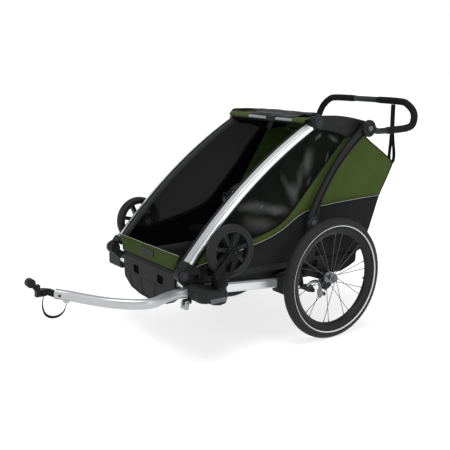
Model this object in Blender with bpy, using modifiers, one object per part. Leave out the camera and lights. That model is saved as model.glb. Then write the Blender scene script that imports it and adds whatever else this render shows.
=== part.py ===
"""A two-seat child bike trailer: folding side frames on two rails, sprung spoked wheels,
an adjustable handlebar, two small front wheels stowed upside down on the front castings,
and a hitch arm at the left that ends in a turning cup for a bicycle's axle.

Everything is drawn in metres about the rear axle: y = 0 and z = AXLE_HEIGHT is the axle,
x = 0 is the centre plane, +X is the trailer's left, -Y is its front and z = 0 the ground.
The whole model then stands BASE_SHIFT further back, so its base is centred on the origin.
"""

import bpy
import bmesh
from math import cos, pi, radians, sin, tau
from mathutils import Matrix, Vector

# Driving dimensions
AXLE_HEIGHT = 0.250
BASE_SHIFT = 0.3333
GAP = 0.0003
WHEEL_RADIUS = 0.250
TYRE_WIDTH = 0.047
HALF_TRACK = 0.345
SMALL_WHEEL_RADIUS = 0.100

# Pivots of the folding side frame, as (y, z)
PILLAR_FOOT = (-0.674, 0.354)
SHOULDER_JOINT = (-0.038, 0.876)
HANDLE_JOINT = (0.208, 0.843)
REAR_JOINT = (-0.072, 0.480)
SWING_PIVOT = (-0.080, 0.283)
AXLE = (0.0, AXLE_HEIGHT)

# The silver front pillar is an arc about this point
PILLAR_CENTRE = (0.900, -0.921)
PILLAR_RADIUS = 2.037
PILLAR_DEPTH = 0.022
PILLAR_INNER = 0.239
PILLAR_OUTER = 0.280

# Planes across the frame, as x
LAP_INNER = 0.2612
LAP_OUTER = 0.2620
SHOULDER_INNER = 0.243
SHOULDER_OUTER = 0.282
REAR_PLANE_INNER = 0.290
REAR_PLANE_OUTER = 0.307
HUB_INNER = 0.3085
HUB_OUTER = 0.3210
PIN_RADIUS = 0.0065
BUTTON_RADIUS = 0.011

# Side rails
RAIL_FRONT = -0.605
RAIL_REAR = -0.190
RAIL_SLOPE = -0.0957
RAIL_INNER = 0.254
RAIL_OUTER = 0.280
RAIL_HALF_HEIGHT = 0.019

# Cross tubes, as (y, z, radius)
FRONT_TUBE = (-0.638, 0.305, 0.017)
REAR_TUBE = (0.002, 0.270, 0.0225)

# Hitch arm
ARM_HALF_WIDTH = 0.015
ARM_HALF_HEIGHT = 0.0185
ARM_ROUTE = (
    (0.265, -0.612, 0.284),
    (0.265, -0.655, 0.284),
    (0.263, -0.695, 0.285),
    (0.270, -0.730, 0.285),
    (0.285, -0.765, 0.286),
    (0.300, -0.800, 0.286),
    (0.307, -0.830, 0.287),
    (0.300, -0.862, 0.288),
    (0.280, -0.900, 0.290),
    (0.242, -0.952, 0.295),
    (0.185, -1.000, 0.300),
    (0.120, -1.050, 0.307),
    (0.085, -1.085, 0.312),
)
HITCH_PIVOT = (0.072, -1.125, 0.322)
CUP_CENTRE = (0.068, -1.170, 0.362)

# Stowed front wheels, as (y, z)
STEM_Y = -0.556
SMALL_HUB = (-0.510, 0.4375)
CROWN_BOTTOM = 0.312

# Handlebar route, from the left hub to the middle
HANDLE_ROUTE = (
    (0.3140, 0.236, 0.838),
    (0.3075, 0.262, 0.829),
    (0.3020, 0.300, 0.827),
    (0.3000, 0.376, 0.828),
    (0.3000, 0.445, 0.831),
    (0.3000, 0.480, 0.842),
    (0.2975, 0.495, 0.872),
    (0.2830, 0.502, 0.900),
    (0.2520, 0.504, 0.924),
    (0.2130, 0.505, 0.936),
    (0.0880, 0.505, 0.938),
    (0.0, 0.505, 0.938),
)
HANDLE_TUBE = 0.012
GRIP_RADIUS = 0.0155

# Webbing
STRAP_WIDTH = 0.025
STRAP_THICKNESS = 0.0025
WRIST_WIDTH = 0.015
WRIST_THICKNESS = 0.002
WRIST_ROUTE = (
    (0.165, 0.5010, 0.9215),
    (0.165, 0.5005, 0.880),
    (0.165, 0.5005, 0.830),
    (0.165, 0.5000, 0.790),
    (0.165, 0.4980, 0.750),
    (0.165, 0.4940, 0.712),
    (0.165, 0.4930, 0.690),
    (0.165, 0.4970, 0.669),
    (0.165, 0.5080, 0.661),
    (0.165, 0.5190, 0.669),
    (0.165, 0.5230, 0.690),
    (0.165, 0.5210, 0.720),
    (0.165, 0.5140, 0.760),
    (0.165, 0.5095, 0.800),
    (0.165, 0.5090, 0.840),
    (0.165, 0.5090, 0.880),
    (0.165, 0.5090, 0.9215),
)
SAFETY_ROUTE = (
    (0.1100, -1.0570, 0.2800),
    (0.1085, -1.0600, 0.2620),
    (0.1040, -1.0680, 0.2460),
    (0.0970, -1.0800, 0.2340),
    (0.0890, -1.0950, 0.2290),
    (0.0820, -1.1100, 0.2310),
    (0.0770, -1.1220, 0.2400),
    (0.0745, -1.1290, 0.2560),
    (0.0735, -1.1310, 0.2740),
    (0.0730, -1.1290, 0.2920),
    (0.0725, -1.1250, 0.3070),
)


# Scene and materials

for old in list(bpy.data.objects):
    bpy.data.objects.remove(old, do_unlink=True)

collection = bpy.data.collections.new("child_bike_trailer")
bpy.context.scene.collection.children.link(collection)

PIVOT_POINTS = {}


def material(name, colour, roughness, metallic=0.0):
    made = bpy.data.materials.new(name)
    made.use_nodes = True
    shader = made.node_tree.nodes["Principled BSDF"]
    shader.inputs["Base Color"].default_value = (*colour, 1.0)
    shader.inputs["Roughness"].default_value = roughness
    shader.inputs["Metallic"].default_value = metallic
    return made


ALUMINIUM = material("anodised_aluminium", (0.66, 0.67, 0.68), 0.38, 0.9)
BLACK_MOULDED = material("black_moulded_plastic", (0.022, 0.023, 0.025), 0.48)
BLACK_FABRIC = material("black_fabric", (0.018, 0.019, 0.021), 0.85)
GREEN_FABRIC = material("green_fabric", (0.055, 0.095, 0.022), 0.82)
GREY_BUTTON = material("grey_button_plastic", (0.20, 0.22, 0.25), 0.42)
RUBBER = material("black_rubber", (0.016, 0.016, 0.017), 0.75)
STEEL = material("bright_steel", (0.55, 0.56, 0.58), 0.30, 1.0)
PALE_PLASTIC = material("light_grey_plastic", (0.45, 0.46, 0.48), 0.45)
FOAM = material("black_foam", (0.013, 0.013, 0.014), 0.9)
GREY_FABRIC = material("grey_padded_fabric", (0.11, 0.115, 0.12), 0.9)


# Mesh helpers

def keep(name, mesh):
    """A mesh as an object of the trailer's collection."""
    thing = bpy.data.objects.new(name, mesh)
    collection.objects.link(thing)
    return thing


def from_bmesh(name, shape):
    mesh = bpy.data.meshes.new(name)
    shape.to_mesh(mesh)
    shape.free()
    return keep(name, mesh)


def settle(thing, merge=1e-5, flatten=False):
    """Applies an object's modifiers and place to its mesh, and faces it outwards."""
    bpy.context.view_layer.update()
    graph = bpy.context.evaluated_depsgraph_get()
    mesh = bpy.data.meshes.new_from_object(thing.evaluated_get(graph))
    mesh.transform(thing.matrix_world)
    name = thing.name
    data = thing.data
    bpy.data.objects.remove(thing, do_unlink=True)
    if data.users == 0 and isinstance(data, bpy.types.Curve):
        bpy.data.curves.remove(data)
    shape = bmesh.new()
    shape.from_mesh(mesh)
    bmesh.ops.remove_doubles(shape, verts=shape.verts, dist=merge)
    if flatten:
        bmesh.ops.dissolve_limit(shape, angle_limit=radians(0.5), verts=shape.verts, edges=shape.edges)
    bmesh.ops.recalc_face_normals(shape, faces=shape.faces)
    shape.to_mesh(mesh)
    shape.free()
    return keep(name, mesh)


def bevelled(thing, width, segments=1, angle=35):
    """Rounds the edges that turn by more than the angle."""
    if width <= 0:
        return thing
    edge = thing.modifiers.new("edges", "BEVEL")
    edge.width = width
    edge.segments = segments
    edge.limit_method = "ANGLE"
    edge.angle_limit = radians(angle)
    return settle(thing)


def rod(name, start, end, radius, sides=16, end_radius=None):
    """A round bar, or a cone where the end radius differs."""
    start = Vector(start)
    end = Vector(end)
    along = end - start
    place = Matrix.Translation((start + end) / 2) @ along.to_track_quat("Z", "Y").to_matrix().to_4x4()
    shape = bmesh.new()
    bmesh.ops.create_cone(shape, cap_ends=True, cap_tris=False, segments=sides, radius1=radius,
                          radius2=radius if end_radius is None else end_radius,
                          depth=along.length, matrix=place)
    return from_bmesh(name, shape)


def pin(name, centre, low, high, radius, sides=16):
    """A round bar along X through a (y, z) centre."""
    return rod(name, (low, *centre), (high, *centre), radius, sides)


def block(name, low, high, bevel=0.0):
    low = Vector(low)
    high = Vector(high)
    shape = bmesh.new()
    size = Matrix.Diagonal((*(high - low), 1.0))
    bmesh.ops.create_cube(shape, size=1.0, matrix=Matrix.Translation((low + high) / 2) @ size)
    return bevelled(from_bmesh(name, shape), bevel)


def turned(name, profile, place, steps=20, closed=True):
    """A profile of (radius, along) points, turned about the Z axis of the place."""
    mesh = bpy.data.meshes.new(name)
    points = [(radius, 0.0, along) for radius, along in profile]
    edges = [(i, i + 1) for i in range(len(points) - 1)]
    if closed:
        edges.append((len(points) - 1, 0))
    mesh.from_pydata(points, edges, [])
    thing = keep(name, mesh)
    thing.matrix_world = place
    screw = thing.modifiers.new("turn", "SCREW")
    screw.steps = steps
    screw.render_steps = steps
    screw.use_merge_vertices = True
    screw.merge_threshold = 1e-5
    return settle(thing)


def along_x(x, centre):
    """A place at (x, y, z) whose Z axis lies along +X."""
    return Matrix.Translation((x, *centre)) @ Matrix.Rotation(pi / 2, 4, "Y")


def corner_rounded(points, radius, steps=2):
    """The outline with each corner replaced by an arc; a point may bring its own radius."""
    result = []
    count = len(points)
    for i, point in enumerate(points):
        here = Vector(point[:2])
        r = point[2] if len(point) > 2 else radius
        before = Vector(points[i - 1][:2]) - here
        after = Vector(points[(i + 1) % count][:2]) - here
        angle = before.angle(after)
        if r <= 0 or angle > radians(172):
            result.append(tuple(here))
            continue
        reach = min(r / (sin(angle / 2) / cos(angle / 2)), 0.45 * before.length, 0.45 * after.length)
        r = reach * sin(angle / 2) / cos(angle / 2)
        middle = here + (before.normalized() + after.normalized()).normalized() * (r / sin(angle / 2))
        first = here + before.normalized() * reach - middle
        last = here + after.normalized() * reach - middle
        turn = first.angle_signed(last)
        for step in range(steps + 1):
            a = -turn * step / steps
            result.append((middle.x + first.x * cos(a) - first.y * sin(a),
                           middle.y + first.x * sin(a) + first.y * cos(a)))
    return result


def plate(name, outline, low, high, plane="YZ", bevel=0.0, holes=()):
    """A flat outline with holes, extruded between two values of the third axis."""
    curve = bpy.data.curves.new(name, "CURVE")
    curve.dimensions = "2D"
    curve.fill_mode = "BOTH"
    curve.extrude = (high - low) / 2
    for loop in (outline, *holes):
        spline = curve.splines.new("POLY")
        spline.points.add(len(loop) - 1)
        for point, (a, b) in zip(spline.points, loop):
            point.co = (a, b, 0.0, 1.0)
        spline.use_cyclic_u = True
    thing = keep(name, curve)
    middle = (low + high) / 2
    if plane == "YZ":
        axes = ((0, 1, 0), (0, 0, 1), (1, 0, 0))
    elif plane == "XZ":
        axes = ((1, 0, 0), (0, 0, 1), (0, -1, 0))
        middle = -middle
    else:
        axes = ((1, 0, 0), (0, 1, 0), (0, 0, 1))
    turn = Matrix(axes).transposed().to_4x4()
    thing.matrix_world = turn @ Matrix.Translation((0, 0, middle))
    return bevelled(settle(thing, flatten=not holes), bevel)


def smooth_path(points, spans=4):
    """A Catmull-Rom path through the points."""
    points = [Vector(p) for p in points]
    ends = [2 * points[0] - points[1], *points, 2 * points[-1] - points[-2]]
    path = []
    for i in range(len(points) - 1):
        a, b, c, d = ends[i:i + 4]
        for step in range(spans):
            t = step / spans
            path.append(0.5 * (2 * b + (c - a) * t + (2 * a - 5 * b + 4 * c - d) * t * t
                               + (3 * b - a - 3 * c + d) * t ** 3))
    path.append(points[-1])
    return path


def tube(name, path, radius, sides=2, section=None):
    """A round tube along a path, or one with the section (half width, half height)."""
    curve = bpy.data.curves.new(name, "CURVE")
    curve.dimensions = "3D"
    curve.use_fill_caps = True
    curve.twist_mode = "MINIMUM" if section is None else "Z_UP"
    spline = curve.splines.new("POLY")
    spline.points.add(len(path) - 1)
    for point, place in zip(spline.points, path):
        point.co = (*place, 1.0)
    ring = None
    if section is None:
        curve.bevel_depth = radius
        curve.bevel_resolution = sides
    else:
        ring_curve = bpy.data.curves.new(name + "_section", "CURVE")
        ring_curve.dimensions = "2D"
        outline = ring_curve.splines.new("POLY")
        corners = oval(*section)
        outline.points.add(len(corners) - 1)
        for point, (a, b) in zip(outline.points, corners):
            point.co = (a, b, 0.0, 1.0)
        outline.use_cyclic_u = True
        ring = keep(name + "_section", ring_curve)
        curve.bevel_mode = "OBJECT"
        curve.bevel_object = ring
    made = settle(keep(name, curve))
    if ring is not None:
        bpy.data.objects.remove(ring, do_unlink=True)
    return made


def oval(half_width, half_height, count=10, power=2.4):
    """A rounded section between an ellipse and a rectangle."""
    points = []
    for i in range(count):
        a = tau * i / count
        c, s = cos(a), sin(a)
        points.append((half_width * abs(c) ** (2 / power) * (1 if c >= 0 else -1),
                       half_height * abs(s) ** (2 / power) * (1 if s >= 0 else -1)))
    return points


def ribbon(name, path, width, thickness, across):
    """Flat webbing: a loft of one rectangle along the path, its width along a fixed direction."""
    across = Vector(across).normalized() * (width / 2)
    shape = bmesh.new()
    rings = []
    for i, place in enumerate(path):
        before = path[max(i - 1, 0)]
        after = path[min(i + 1, len(path) - 1)]
        normal = (after - before).cross(across).normalized() * (thickness / 2)
        corners = (across + normal, across - normal, -across - normal, -across + normal)
        rings.append([shape.verts.new(place + corner) for corner in corners])
    for first, second in zip(rings, rings[1:]):
        for i in range(4):
            shape.faces.new((first[i], first[(i + 1) % 4], second[(i + 1) % 4], second[i]))
    shape.faces.new(rings[0])
    shape.faces.new(rings[-1])
    bmesh.ops.recalc_face_normals(shape, faces=shape.faces)
    return from_bmesh(name, shape)


def combine(base, others, operation):
    """Joins pieces to the base, or cuts them out of it, with exact booleans."""
    for other in others:
        step = base.modifiers.new(operation.lower(), "BOOLEAN")
        step.operation = operation
        step.solver = "EXACT"
        step.object = other
        base = settle(base, merge=1e-6)
        bpy.data.objects.remove(other, do_unlink=True)
    return base


def join(base, *others):
    return combine(base, others, "UNION")


def cut(base, *others):
    return combine(base, others, "DIFFERENCE")


def circle(centre, radius, count=16, start=0.0, end=tau):
    """Points of a circle or an arc, anticlockwise."""
    whole = end - start >= tau - 1e-9
    steps = count if whole else count - 1
    return [(centre[0] + radius * cos(start + (end - start) * i / steps),
             centre[1] + radius * sin(start + (end - start) * i / steps)) for i in range(count)]


def copy_of(thing, name, change):
    """A copy of a piece whose mesh is changed by a matrix."""
    mesh = thing.data.copy()
    mesh.transform(change)
    if change.determinant() < 0:
        mesh.flip_normals()
    return keep(name, mesh)


def both_sides(thing):
    """The left piece and its mirror image, named after their sides."""
    name = thing.name
    other = copy_of(thing, name + "_right", Matrix.Scale(-1, 4, (1, 0, 0)))
    thing.name = name + "_left"
    thing.data.name = thing.name
    return thing, other


# Placing: empties on the joint axes carry the pieces

def pivot(name, point, parent=None):
    """An empty on a joint's axis, carried by its parent's empty."""
    thing = bpy.data.objects.new(name, None)
    collection.objects.link(thing)
    point = Vector(point)
    if parent is None:
        thing.location = point + Vector((0, BASE_SHIFT, 0))
    else:
        thing.parent = bpy.data.objects[parent]
        thing.location = point - PIVOT_POINTS[parent]
    PIVOT_POINTS[name] = point
    return name


def carry(things, on, finish, smooth=35):
    """Hands pieces drawn in place to the empty that carries them."""
    for thing in things if isinstance(things, (list, tuple)) else [things]:
        origin = PIVOT_POINTS[on]
        thing.data.transform(Matrix.Translation(-origin))
        thing.parent = bpy.data.objects[on]
        thing.location = (0, 0, 0)
        thing.data.materials.clear()
        thing.data.materials.append(finish)
        if smooth:
            thing.data.shade_smooth()
            thing.data.set_sharp_from_angle(angle=radians(smooth))


def axis_point(centre, x=0.0):
    return (x, centre[0], centre[1])


TRAILER = pivot("trailer", (0, 0, 0))
FRAME = pivot("frame_fold_axis", axis_point(PILLAR_FOOT), TRAILER)
SHOULDERS = pivot("shoulder_fold_axis", axis_point(SHOULDER_JOINT), FRAME)
HANDLE = pivot("handlebar_axis", axis_point(HANDLE_JOINT), SHOULDERS)
REAR_FRAME = pivot("rear_frame_axis", axis_point(REAR_JOINT), TRAILER)
SIDES = (("left", 1), ("right", -1))
for side, sign in SIDES:
    arm_axis = pivot(f"swing_axis_{side}", axis_point(SWING_PIVOT, sign * 0.282), TRAILER)
    pivot(f"wheel_axis_{side}", axis_point(AXLE, sign * HALF_TRACK), arm_axis)
    swivel = pivot(f"swivel_axis_{side}", (sign * 0.342, STEM_Y, 0.31), TRAILER)
    pivot(f"small_wheel_axis_{side}", axis_point(SMALL_HUB, sign * 0.342), swivel)
HITCH = pivot("hitch_axis", HITCH_PIVOT, TRAILER)
LEVER = pivot("lever_axis", (0.276, -0.664, 0.252), TRAILER)
PEDAL = pivot("pedal_axis", (0.0, REAR_TUBE[0], REAR_TUBE[1]), TRAILER)


# Side rails and cross tubes

def rail_height(y):
    return 0.2525 + RAIL_SLOPE * (y + 0.237)


def rail_outline(front, rear, grow=0.0):
    half = RAIL_HALF_HEIGHT + grow
    return [(front, rail_height(front) - half), (rear, rail_height(rear) - half),
            (rear, rail_height(rear) + half), (front, rail_height(front) + half)]


def rail_room(front, rear):
    """The room that a casting leaves for the rail."""
    return plate("rail_room", rail_outline(front, rear, GAP), RAIL_INNER - GAP, RAIL_OUTER + GAP,
                 bevel=0.006)


def make_rails():
    rail = plate("side_rail", rail_outline(RAIL_FRONT, RAIL_REAR), RAIL_INNER, RAIL_OUTER, bevel=0.006)
    rail = cut(rail, plate("bore", rail_outline(RAIL_FRONT - 0.01, RAIL_REAR + 0.01, -0.0030),
                           RAIL_INNER + 0.0030, RAIL_OUTER - 0.0030, bevel=0.005))
    carry(both_sides(rail), TRAILER, ALUMINIUM)


def make_cross_tubes():
    y, z, radius = FRONT_TUBE
    front = cut(pin("front_cross_tube", (y, z), -0.2425, 0.2425, radius),
                pin("bore", (y, z), -0.26, 0.26, radius - 0.0025))
    carry(front, TRAILER, ALUMINIUM)
    y, z, radius = REAR_TUBE
    rear = cut(pin("rear_cross_tube", (y, z), -0.2735, 0.2735, radius, 20),
               pin("bore", (y, z), -0.30, 0.30, radius - 0.0025, 20))
    carry(rear, TRAILER, ALUMINIUM)


# Front castings: rail socket, pivot lug, front wheel socket and the arm's mouth

def make_receivers():
    outline = [(-0.655, 0.263), (-0.622, 0.262), (-0.600, 0.252), (-0.570, 0.246), (-0.545, 0.250),
               (-0.536, 0.275), (-0.538, 0.300), (-0.600, 0.307), (-0.655, 0.322)]
    body = plate("receiver", corner_rounded(outline, 0.006, 1), 0.243, 0.368, bevel=0.005)
    nose = plate("nose", [(0.300, -0.700), (0.380, -0.700), (0.380, -0.615)], 0.23, 0.34, plane="XY")
    body = cut(body, nose)
    y, z = PILLAR_FOOT
    lug_outline = circle((y, z), 0.022, 9, radians(-20), radians(215)) + [(-0.650, 0.300), (-0.605, 0.300)]
    lug = plate("lug", lug_outline, 0.2434, LAP_INNER)
    foot_pin = pin("foot_pin", (y, z), 0.250, 0.2785, PIN_RADIUS + 0.001, 12)
    collar = rod("collar", (0.342, STEM_Y, 0.290), (0.342, STEM_Y, CROWN_BOTTOM - 0.0008), 0.025)
    body = join(body, lug, foot_pin, collar)
    stem_room = rod("stem_room", (0.342, STEM_Y, 0.272), (0.342, STEM_Y, 0.35), 0.0116, 12)
    body = cut(body, rail_room(RAIL_FRONT - GAP, -0.45), stem_room)
    left, right = both_sides(body)
    arm_path = [Vector((0.265, -0.6117, 0.284)), Vector((0.265, -0.70, 0.284))]
    arm_room = tube("arm_room", arm_path, 0, section=(ARM_HALF_WIDTH + GAP, ARM_HALF_HEIGHT + GAP))
    left = cut(left, arm_room)
    hanger = block("hanger", (0.268, -0.672, 0.245), (0.284, -0.640, 0.2648), 0.002)
    ears = pin("ears", (-0.664, 0.252), 0.2565, 0.2955, 0.003, 12)
    left = join(left, hanger, ears)
    carry([left, right], TRAILER, BLACK_MOULDED)


# Rear castings: rail socket, cross tube clamp, swing arm pin, spring shelf and the rear post

def make_rear_brackets():
    outline = [(-0.237, 0.2280), (-0.232, 0.214), (-0.205, 0.204), (-0.197, 0.1960), (-0.185, 0.197),
               (-0.176, 0.210), (-0.140, 0.232), (-0.105, 0.252), (-0.060, 0.250), (-0.030, 0.240),
               (0.000, 0.2385), (0.026, 0.246), (0.034, 0.270), (0.028, 0.294), (0.004, 0.338),
               (-0.105, 0.338), (-0.150, 0.304), (-0.237, 0.284)]
    body = plate("rear_bracket", outline, 0.246, 0.272, bevel=0.002)
    socket = block("socket", (0.2465, -0.2362, 0.2225), (0.2846, -0.1600, 0.2800), 0.003)
    shelf = block("shelf", (0.262, -0.104, 0.322), (0.2892, 0.002, 0.3376))
    y, z = REAR_JOINT
    post_outline = circle((y, z), 0.026, 9, radians(-12), radians(192)) + [(-0.104, 0.325), (-0.046, 0.325)]
    post = plate("post", post_outline, 0.2835, 0.2888)
    fold_pin = pin("fold_pin", REAR_JOINT, 0.286, 0.3003, PIN_RADIUS, 12)
    swing_pin = pin("swing_pin", SWING_PIVOT, 0.265, 0.293, 0.007, 12)
    swing_head = pin("swing_head", SWING_PIVOT, 0.2908, 0.2950, 0.012, 16)
    body = join(body, socket, shelf, post, fold_pin, swing_pin, swing_head)
    tube_room = pin("tube_room", REAR_TUBE[:2], 0.23, 0.275, REAR_TUBE[2] + GAP, 20)
    body = cut(body, tube_room, rail_room(-0.30, RAIL_REAR + GAP))
    carry(both_sides(body), TRAILER, BLACK_MOULDED)


# Tub, bumper and front apron

def make_tub():
    outer = [(-0.604, 0.335, 0.0), (-0.590, 0.206, 0.020), (-0.330, 0.206, 0.030),
             (-0.240, 0.232, 0.030), (-0.125, 0.232, 0.020), (-0.112, 0.335, 0.0)]
    inner = [(-0.602, 0.360, 0.0), (-0.587, 0.2092, 0.018), (-0.330, 0.2092, 0.030),
             (-0.240, 0.2352, 0.030), (-0.128, 0.2352, 0.018), (-0.114, 0.360, 0.0)]
    shell = plate("tub", corner_rounded(outer, 0.0, 2), -0.236, 0.236, bevel=0.003)
    inner_shape = [(y + 0.0012 if y < -0.5 else y - 0.0012 if y > -0.2 else y, z)
                   for y, z in corner_rounded(inner, 0.0, 2)]
    room = plate("room", inner_shape, -0.2328, 0.2328)
    shell = cut(shell, room)
    for sign in (1, -1):
        for y in (-0.480, -0.290):
            low = min(sign * 0.2345, sign * 0.2536)
            high = max(sign * 0.2345, sign * 0.2536)
            shell = join(shell, block("foot", (low, y, 0.2560), (high, y + 0.036, 0.2640)))
    carry(shell, TRAILER, BLACK_MOULDED)


def make_bumper():
    outline = [(0.0, 0.193), (0.070, 0.196), (0.140, 0.209), (0.195, 0.245), (0.200, 0.300),
               (0.192, 0.350), (-0.192, 0.350), (-0.200, 0.300), (-0.195, 0.245), (-0.140, 0.209),
               (-0.070, 0.196)]
    shell = plate("bumper", corner_rounded(outline, 0.010, 1), -0.662, -0.628, plane="XZ", bevel=0.003)
    inner = [(x * 0.972, 0.276 + (z - 0.276) * 0.935) for x, z in corner_rounded(outline, 0.010, 1)]
    shell = cut(shell, plate("room", inner, -0.6575, -0.60, plane="XZ"))
    for sign in (1, -1):
        hole = [(sign * 0.074, 0.312), (sign * 0.070, 0.279), (sign * 0.112, 0.279), (sign * 0.117, 0.312)]
        shell = cut(shell, plate("hole", corner_rounded(hole, 0.004, 1), -0.70, -0.640, plane="XZ"))
    seam = block("seam", (-0.21, -0.67, 0.2693), (0.21, -0.6608, 0.2707))
    y, z, radius = FRONT_TUBE
    shell = cut(shell, seam, pin("tube_room", (y, z), -0.25, 0.25, radius + 0.001))
    carry(shell, TRAILER, BLACK_MOULDED)


def make_apron():
    outline = [(-0.192, 0.3535), (0.192, 0.3535), (0.2310, 0.416), (-0.2310, 0.416)]
    panel = plate("apron", corner_rounded(outline, 0.004, 2), -0.662, -0.658, plane="XZ")
    carry(panel, TRAILER, GREEN_FABRIC)


# Front pillars, their feet, the roof bar and the shoulders

def pillar_point(angle, radius):
    return (PILLAR_CENTRE[0] + radius * cos(angle), PILLAR_CENTRE[1] + radius * sin(angle))


def arc_band(low_angle, high_angle, inner, outer, count=12):
    """A band of the pillar's arc, as an outline; the angles are at the arc's centre, in degrees."""
    angles = [radians(low_angle + (high_angle - low_angle) * i / (count - 1)) for i in range(count)]
    return ([pillar_point(a, outer) for a in angles] + [pillar_point(a, inner) for a in reversed(angles)])


PILLAR_TOP_END = 118.62
PILLAR_BOTTOM_END = 140.22
PILLAR_BACK = PILLAR_RADIUS - PILLAR_DEPTH


# The pillar's section, as (x, distance behind the arc): a face that leans outwards, a groove, a side
PILLAR_SECTION = (
    (0.2390, 0.0030),
    (0.2410, 0.0),
    (0.2450, 0.0),
    (0.2660, 0.0060),
    (0.2665, 0.0078),
    (0.2680, 0.0082),
    (0.2688, 0.0070),
    (0.2770, 0.0098),
    (0.2800, 0.0128),
    (0.2800, 0.0200),
    (0.2780, 0.0220),
    (0.2410, 0.0220),
    (0.2390, 0.0200),
)
PILLAR_BORE = (
    (0.2420, 0.0050),
    (0.2460, 0.0035),
    (0.2640, 0.0100),
    (0.2750, 0.0130),
    (0.2770, 0.0190),
    (0.2420, 0.0190),
)


def pillar_sweep(name, section, low_angle, high_angle, stations):
    """A section swept along the pillar's arc, closed at both ends."""
    shape = bmesh.new()
    rings = []
    for i in range(stations):
        angle = radians(low_angle + (high_angle - low_angle) * i / (stations - 1))
        rings.append([shape.verts.new((x, *pillar_point(angle, PILLAR_RADIUS - back))) for x, back in section])
    for first, second in zip(rings, rings[1:]):
        for i in range(len(section)):
            j = (i + 1) % len(section)
            shape.faces.new((first[i], first[j], second[j], second[i]))
    shape.faces.new(rings[0])
    shape.faces.new(rings[-1])
    bmesh.ops.recalc_face_normals(shape, faces=shape.faces)
    return from_bmesh(name, shape)


def make_pillars():
    body = pillar_sweep("front_pillar", PILLAR_SECTION, PILLAR_TOP_END, PILLAR_BOTTOM_END, 12)
    bore = pillar_sweep("bore", PILLAR_BORE, PILLAR_TOP_END - 1, PILLAR_BOTTOM_END + 1, 9)
    carry(both_sides(cut(body, bore)), FRAME, ALUMINIUM)


def pillar_sleeve(name, low_angle, high_angle, room_low, room_high):
    """The square sleeve that a casting slips over the pillar's end."""
    wall = 0.0030
    sleeve = plate(name, arc_band(low_angle, high_angle, PILLAR_BACK - wall, PILLAR_RADIUS + wall, 3),
                   PILLAR_INNER - wall, PILLAR_OUTER + wall, bevel=0.0020)
    room = plate("room", arc_band(room_low, room_high, PILLAR_BACK - 2 * GAP, PILLAR_RADIUS + GAP, 3),
                 PILLAR_INNER - GAP, PILLAR_OUTER + GAP)
    return sleeve, room


def make_pillar_feet():
    sleeve, room = pillar_sleeve("pillar_foot", 139.55, 140.31, 139.0, PILLAR_BOTTOM_END + 0.009)
    y, z = PILLAR_FOOT
    neck = [pillar_point(radians(140.25), PILLAR_BACK - 0.002),
            pillar_point(radians(140.25), PILLAR_RADIUS + 0.002)]
    eye_outline = circle((y, z), 0.024, 10, radians(115), radians(345)) + neck
    eye = plate("eye", eye_outline, LAP_OUTER, 0.2812)
    knob = pin("knob", (y, z), 0.2800, 0.2900, 0.018)
    foot = join(sleeve, eye, knob)
    bore = pin("bore", (y, z), 0.25, 0.2790, PIN_RADIUS + 0.0014, 12)
    foot = cut(foot, room, bore)
    carry(both_sides(foot), FRAME, BLACK_MOULDED)


def make_roof_bar():
    y, z = SHOULDER_JOINT
    bar = rod("roof_front_bar", (-0.250, -0.0720, 0.8760), (0.250, -0.0720, 0.8760), 0.012, 14)
    rooms = []
    for sign in (1, -1):
        sleeve, room = pillar_sleeve("sleeve", 118.46, 119.15, PILLAR_TOP_END - 0.009, 119.6)
        lug_outline = circle((y, z), 0.024, 9, radians(-75), radians(120))
        lug_outline += [pillar_point(radians(118.54), PILLAR_RADIUS + 0.002),
                        pillar_point(radians(118.54), PILLAR_BACK - 0.002)]
        lug = plate("lug", lug_outline, SHOULDER_INNER, LAP_INNER)
        joint_pin = pin("joint_pin", (y, z), 0.250, 0.2785, PIN_RADIUS + 0.001, 12)
        pieces = [sleeve, lug, joint_pin]
        if sign < 0:
            pieces = [flipped(piece) for piece in pieces]
            room = flipped(room)
        bar = join(bar, *pieces)
        rooms.append(room)
    bar = cut(bar, *rooms)
    carry(bar, FRAME, BLACK_MOULDED)


def flipped(thing):
    """Moves a piece to the other side of the centre plane."""
    other = copy_of(thing, thing.name + "_flipped", Matrix.Scale(-1, 4, (1, 0, 0)))
    bpy.data.objects.remove(thing, do_unlink=True)
    return other


def make_shoulders():
    y, z = HANDLE_JOINT
    outline = [(-0.038, 0.9030, 0.0), (0.060, 0.8995, 0.0), (0.130, 0.8905, 0.0), (0.190, 0.8780, 0.0),
               (0.228, 0.8680, 0.015), (0.243, 0.8430, 0.015), (0.232, 0.8150, 0.012),
               (0.190, 0.8050, 0.0), (0.125, 0.8050, 0.020), (0.080, 0.8250, 0.0), (0.020, 0.8410, 0.0),
               (-0.038, 0.8490, 0.0)]
    front = circle(SHOULDER_JOINT, 0.027, 9, radians(90), radians(270))
    body_outline = corner_rounded(outline, 0.0, 2)
    body = plate("shoulder", front[1:-1] + body_outline[::-1], SHOULDER_INNER, SHOULDER_OUTER, bevel=0.004)
    lap = pin("lap", SHOULDER_JOINT, 0.24, LAP_OUTER, 0.0278, 16)
    front_room = block("front_room", (0.24, -0.10, 0.84), (LAP_OUTER, SHOULDER_JOINT[0], 0.91))
    body = cut(body, lap, front_room)
    knob = pin("knob", SHOULDER_JOINT, 0.2800, 0.2893, 0.021)
    spacer = pin("spacer", (y, z), 0.2800, 0.2895, 0.018)
    hinge_pin = pin("hinge_pin", (y, z), 0.2880, 0.3163, PIN_RADIUS, 12)
    body = join(body, knob, spacer, hinge_pin)
    bore = pin("bore", SHOULDER_JOINT, 0.25, 0.2790, PIN_RADIUS + 0.0014, 12)
    patch = block("patch", (0.2812, 0.050, 0.8605), (0.29, 0.110, 0.8800))
    body = cut(body, bore, patch)
    carry(both_sides(body), SHOULDERS, BLACK_MOULDED)


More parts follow.
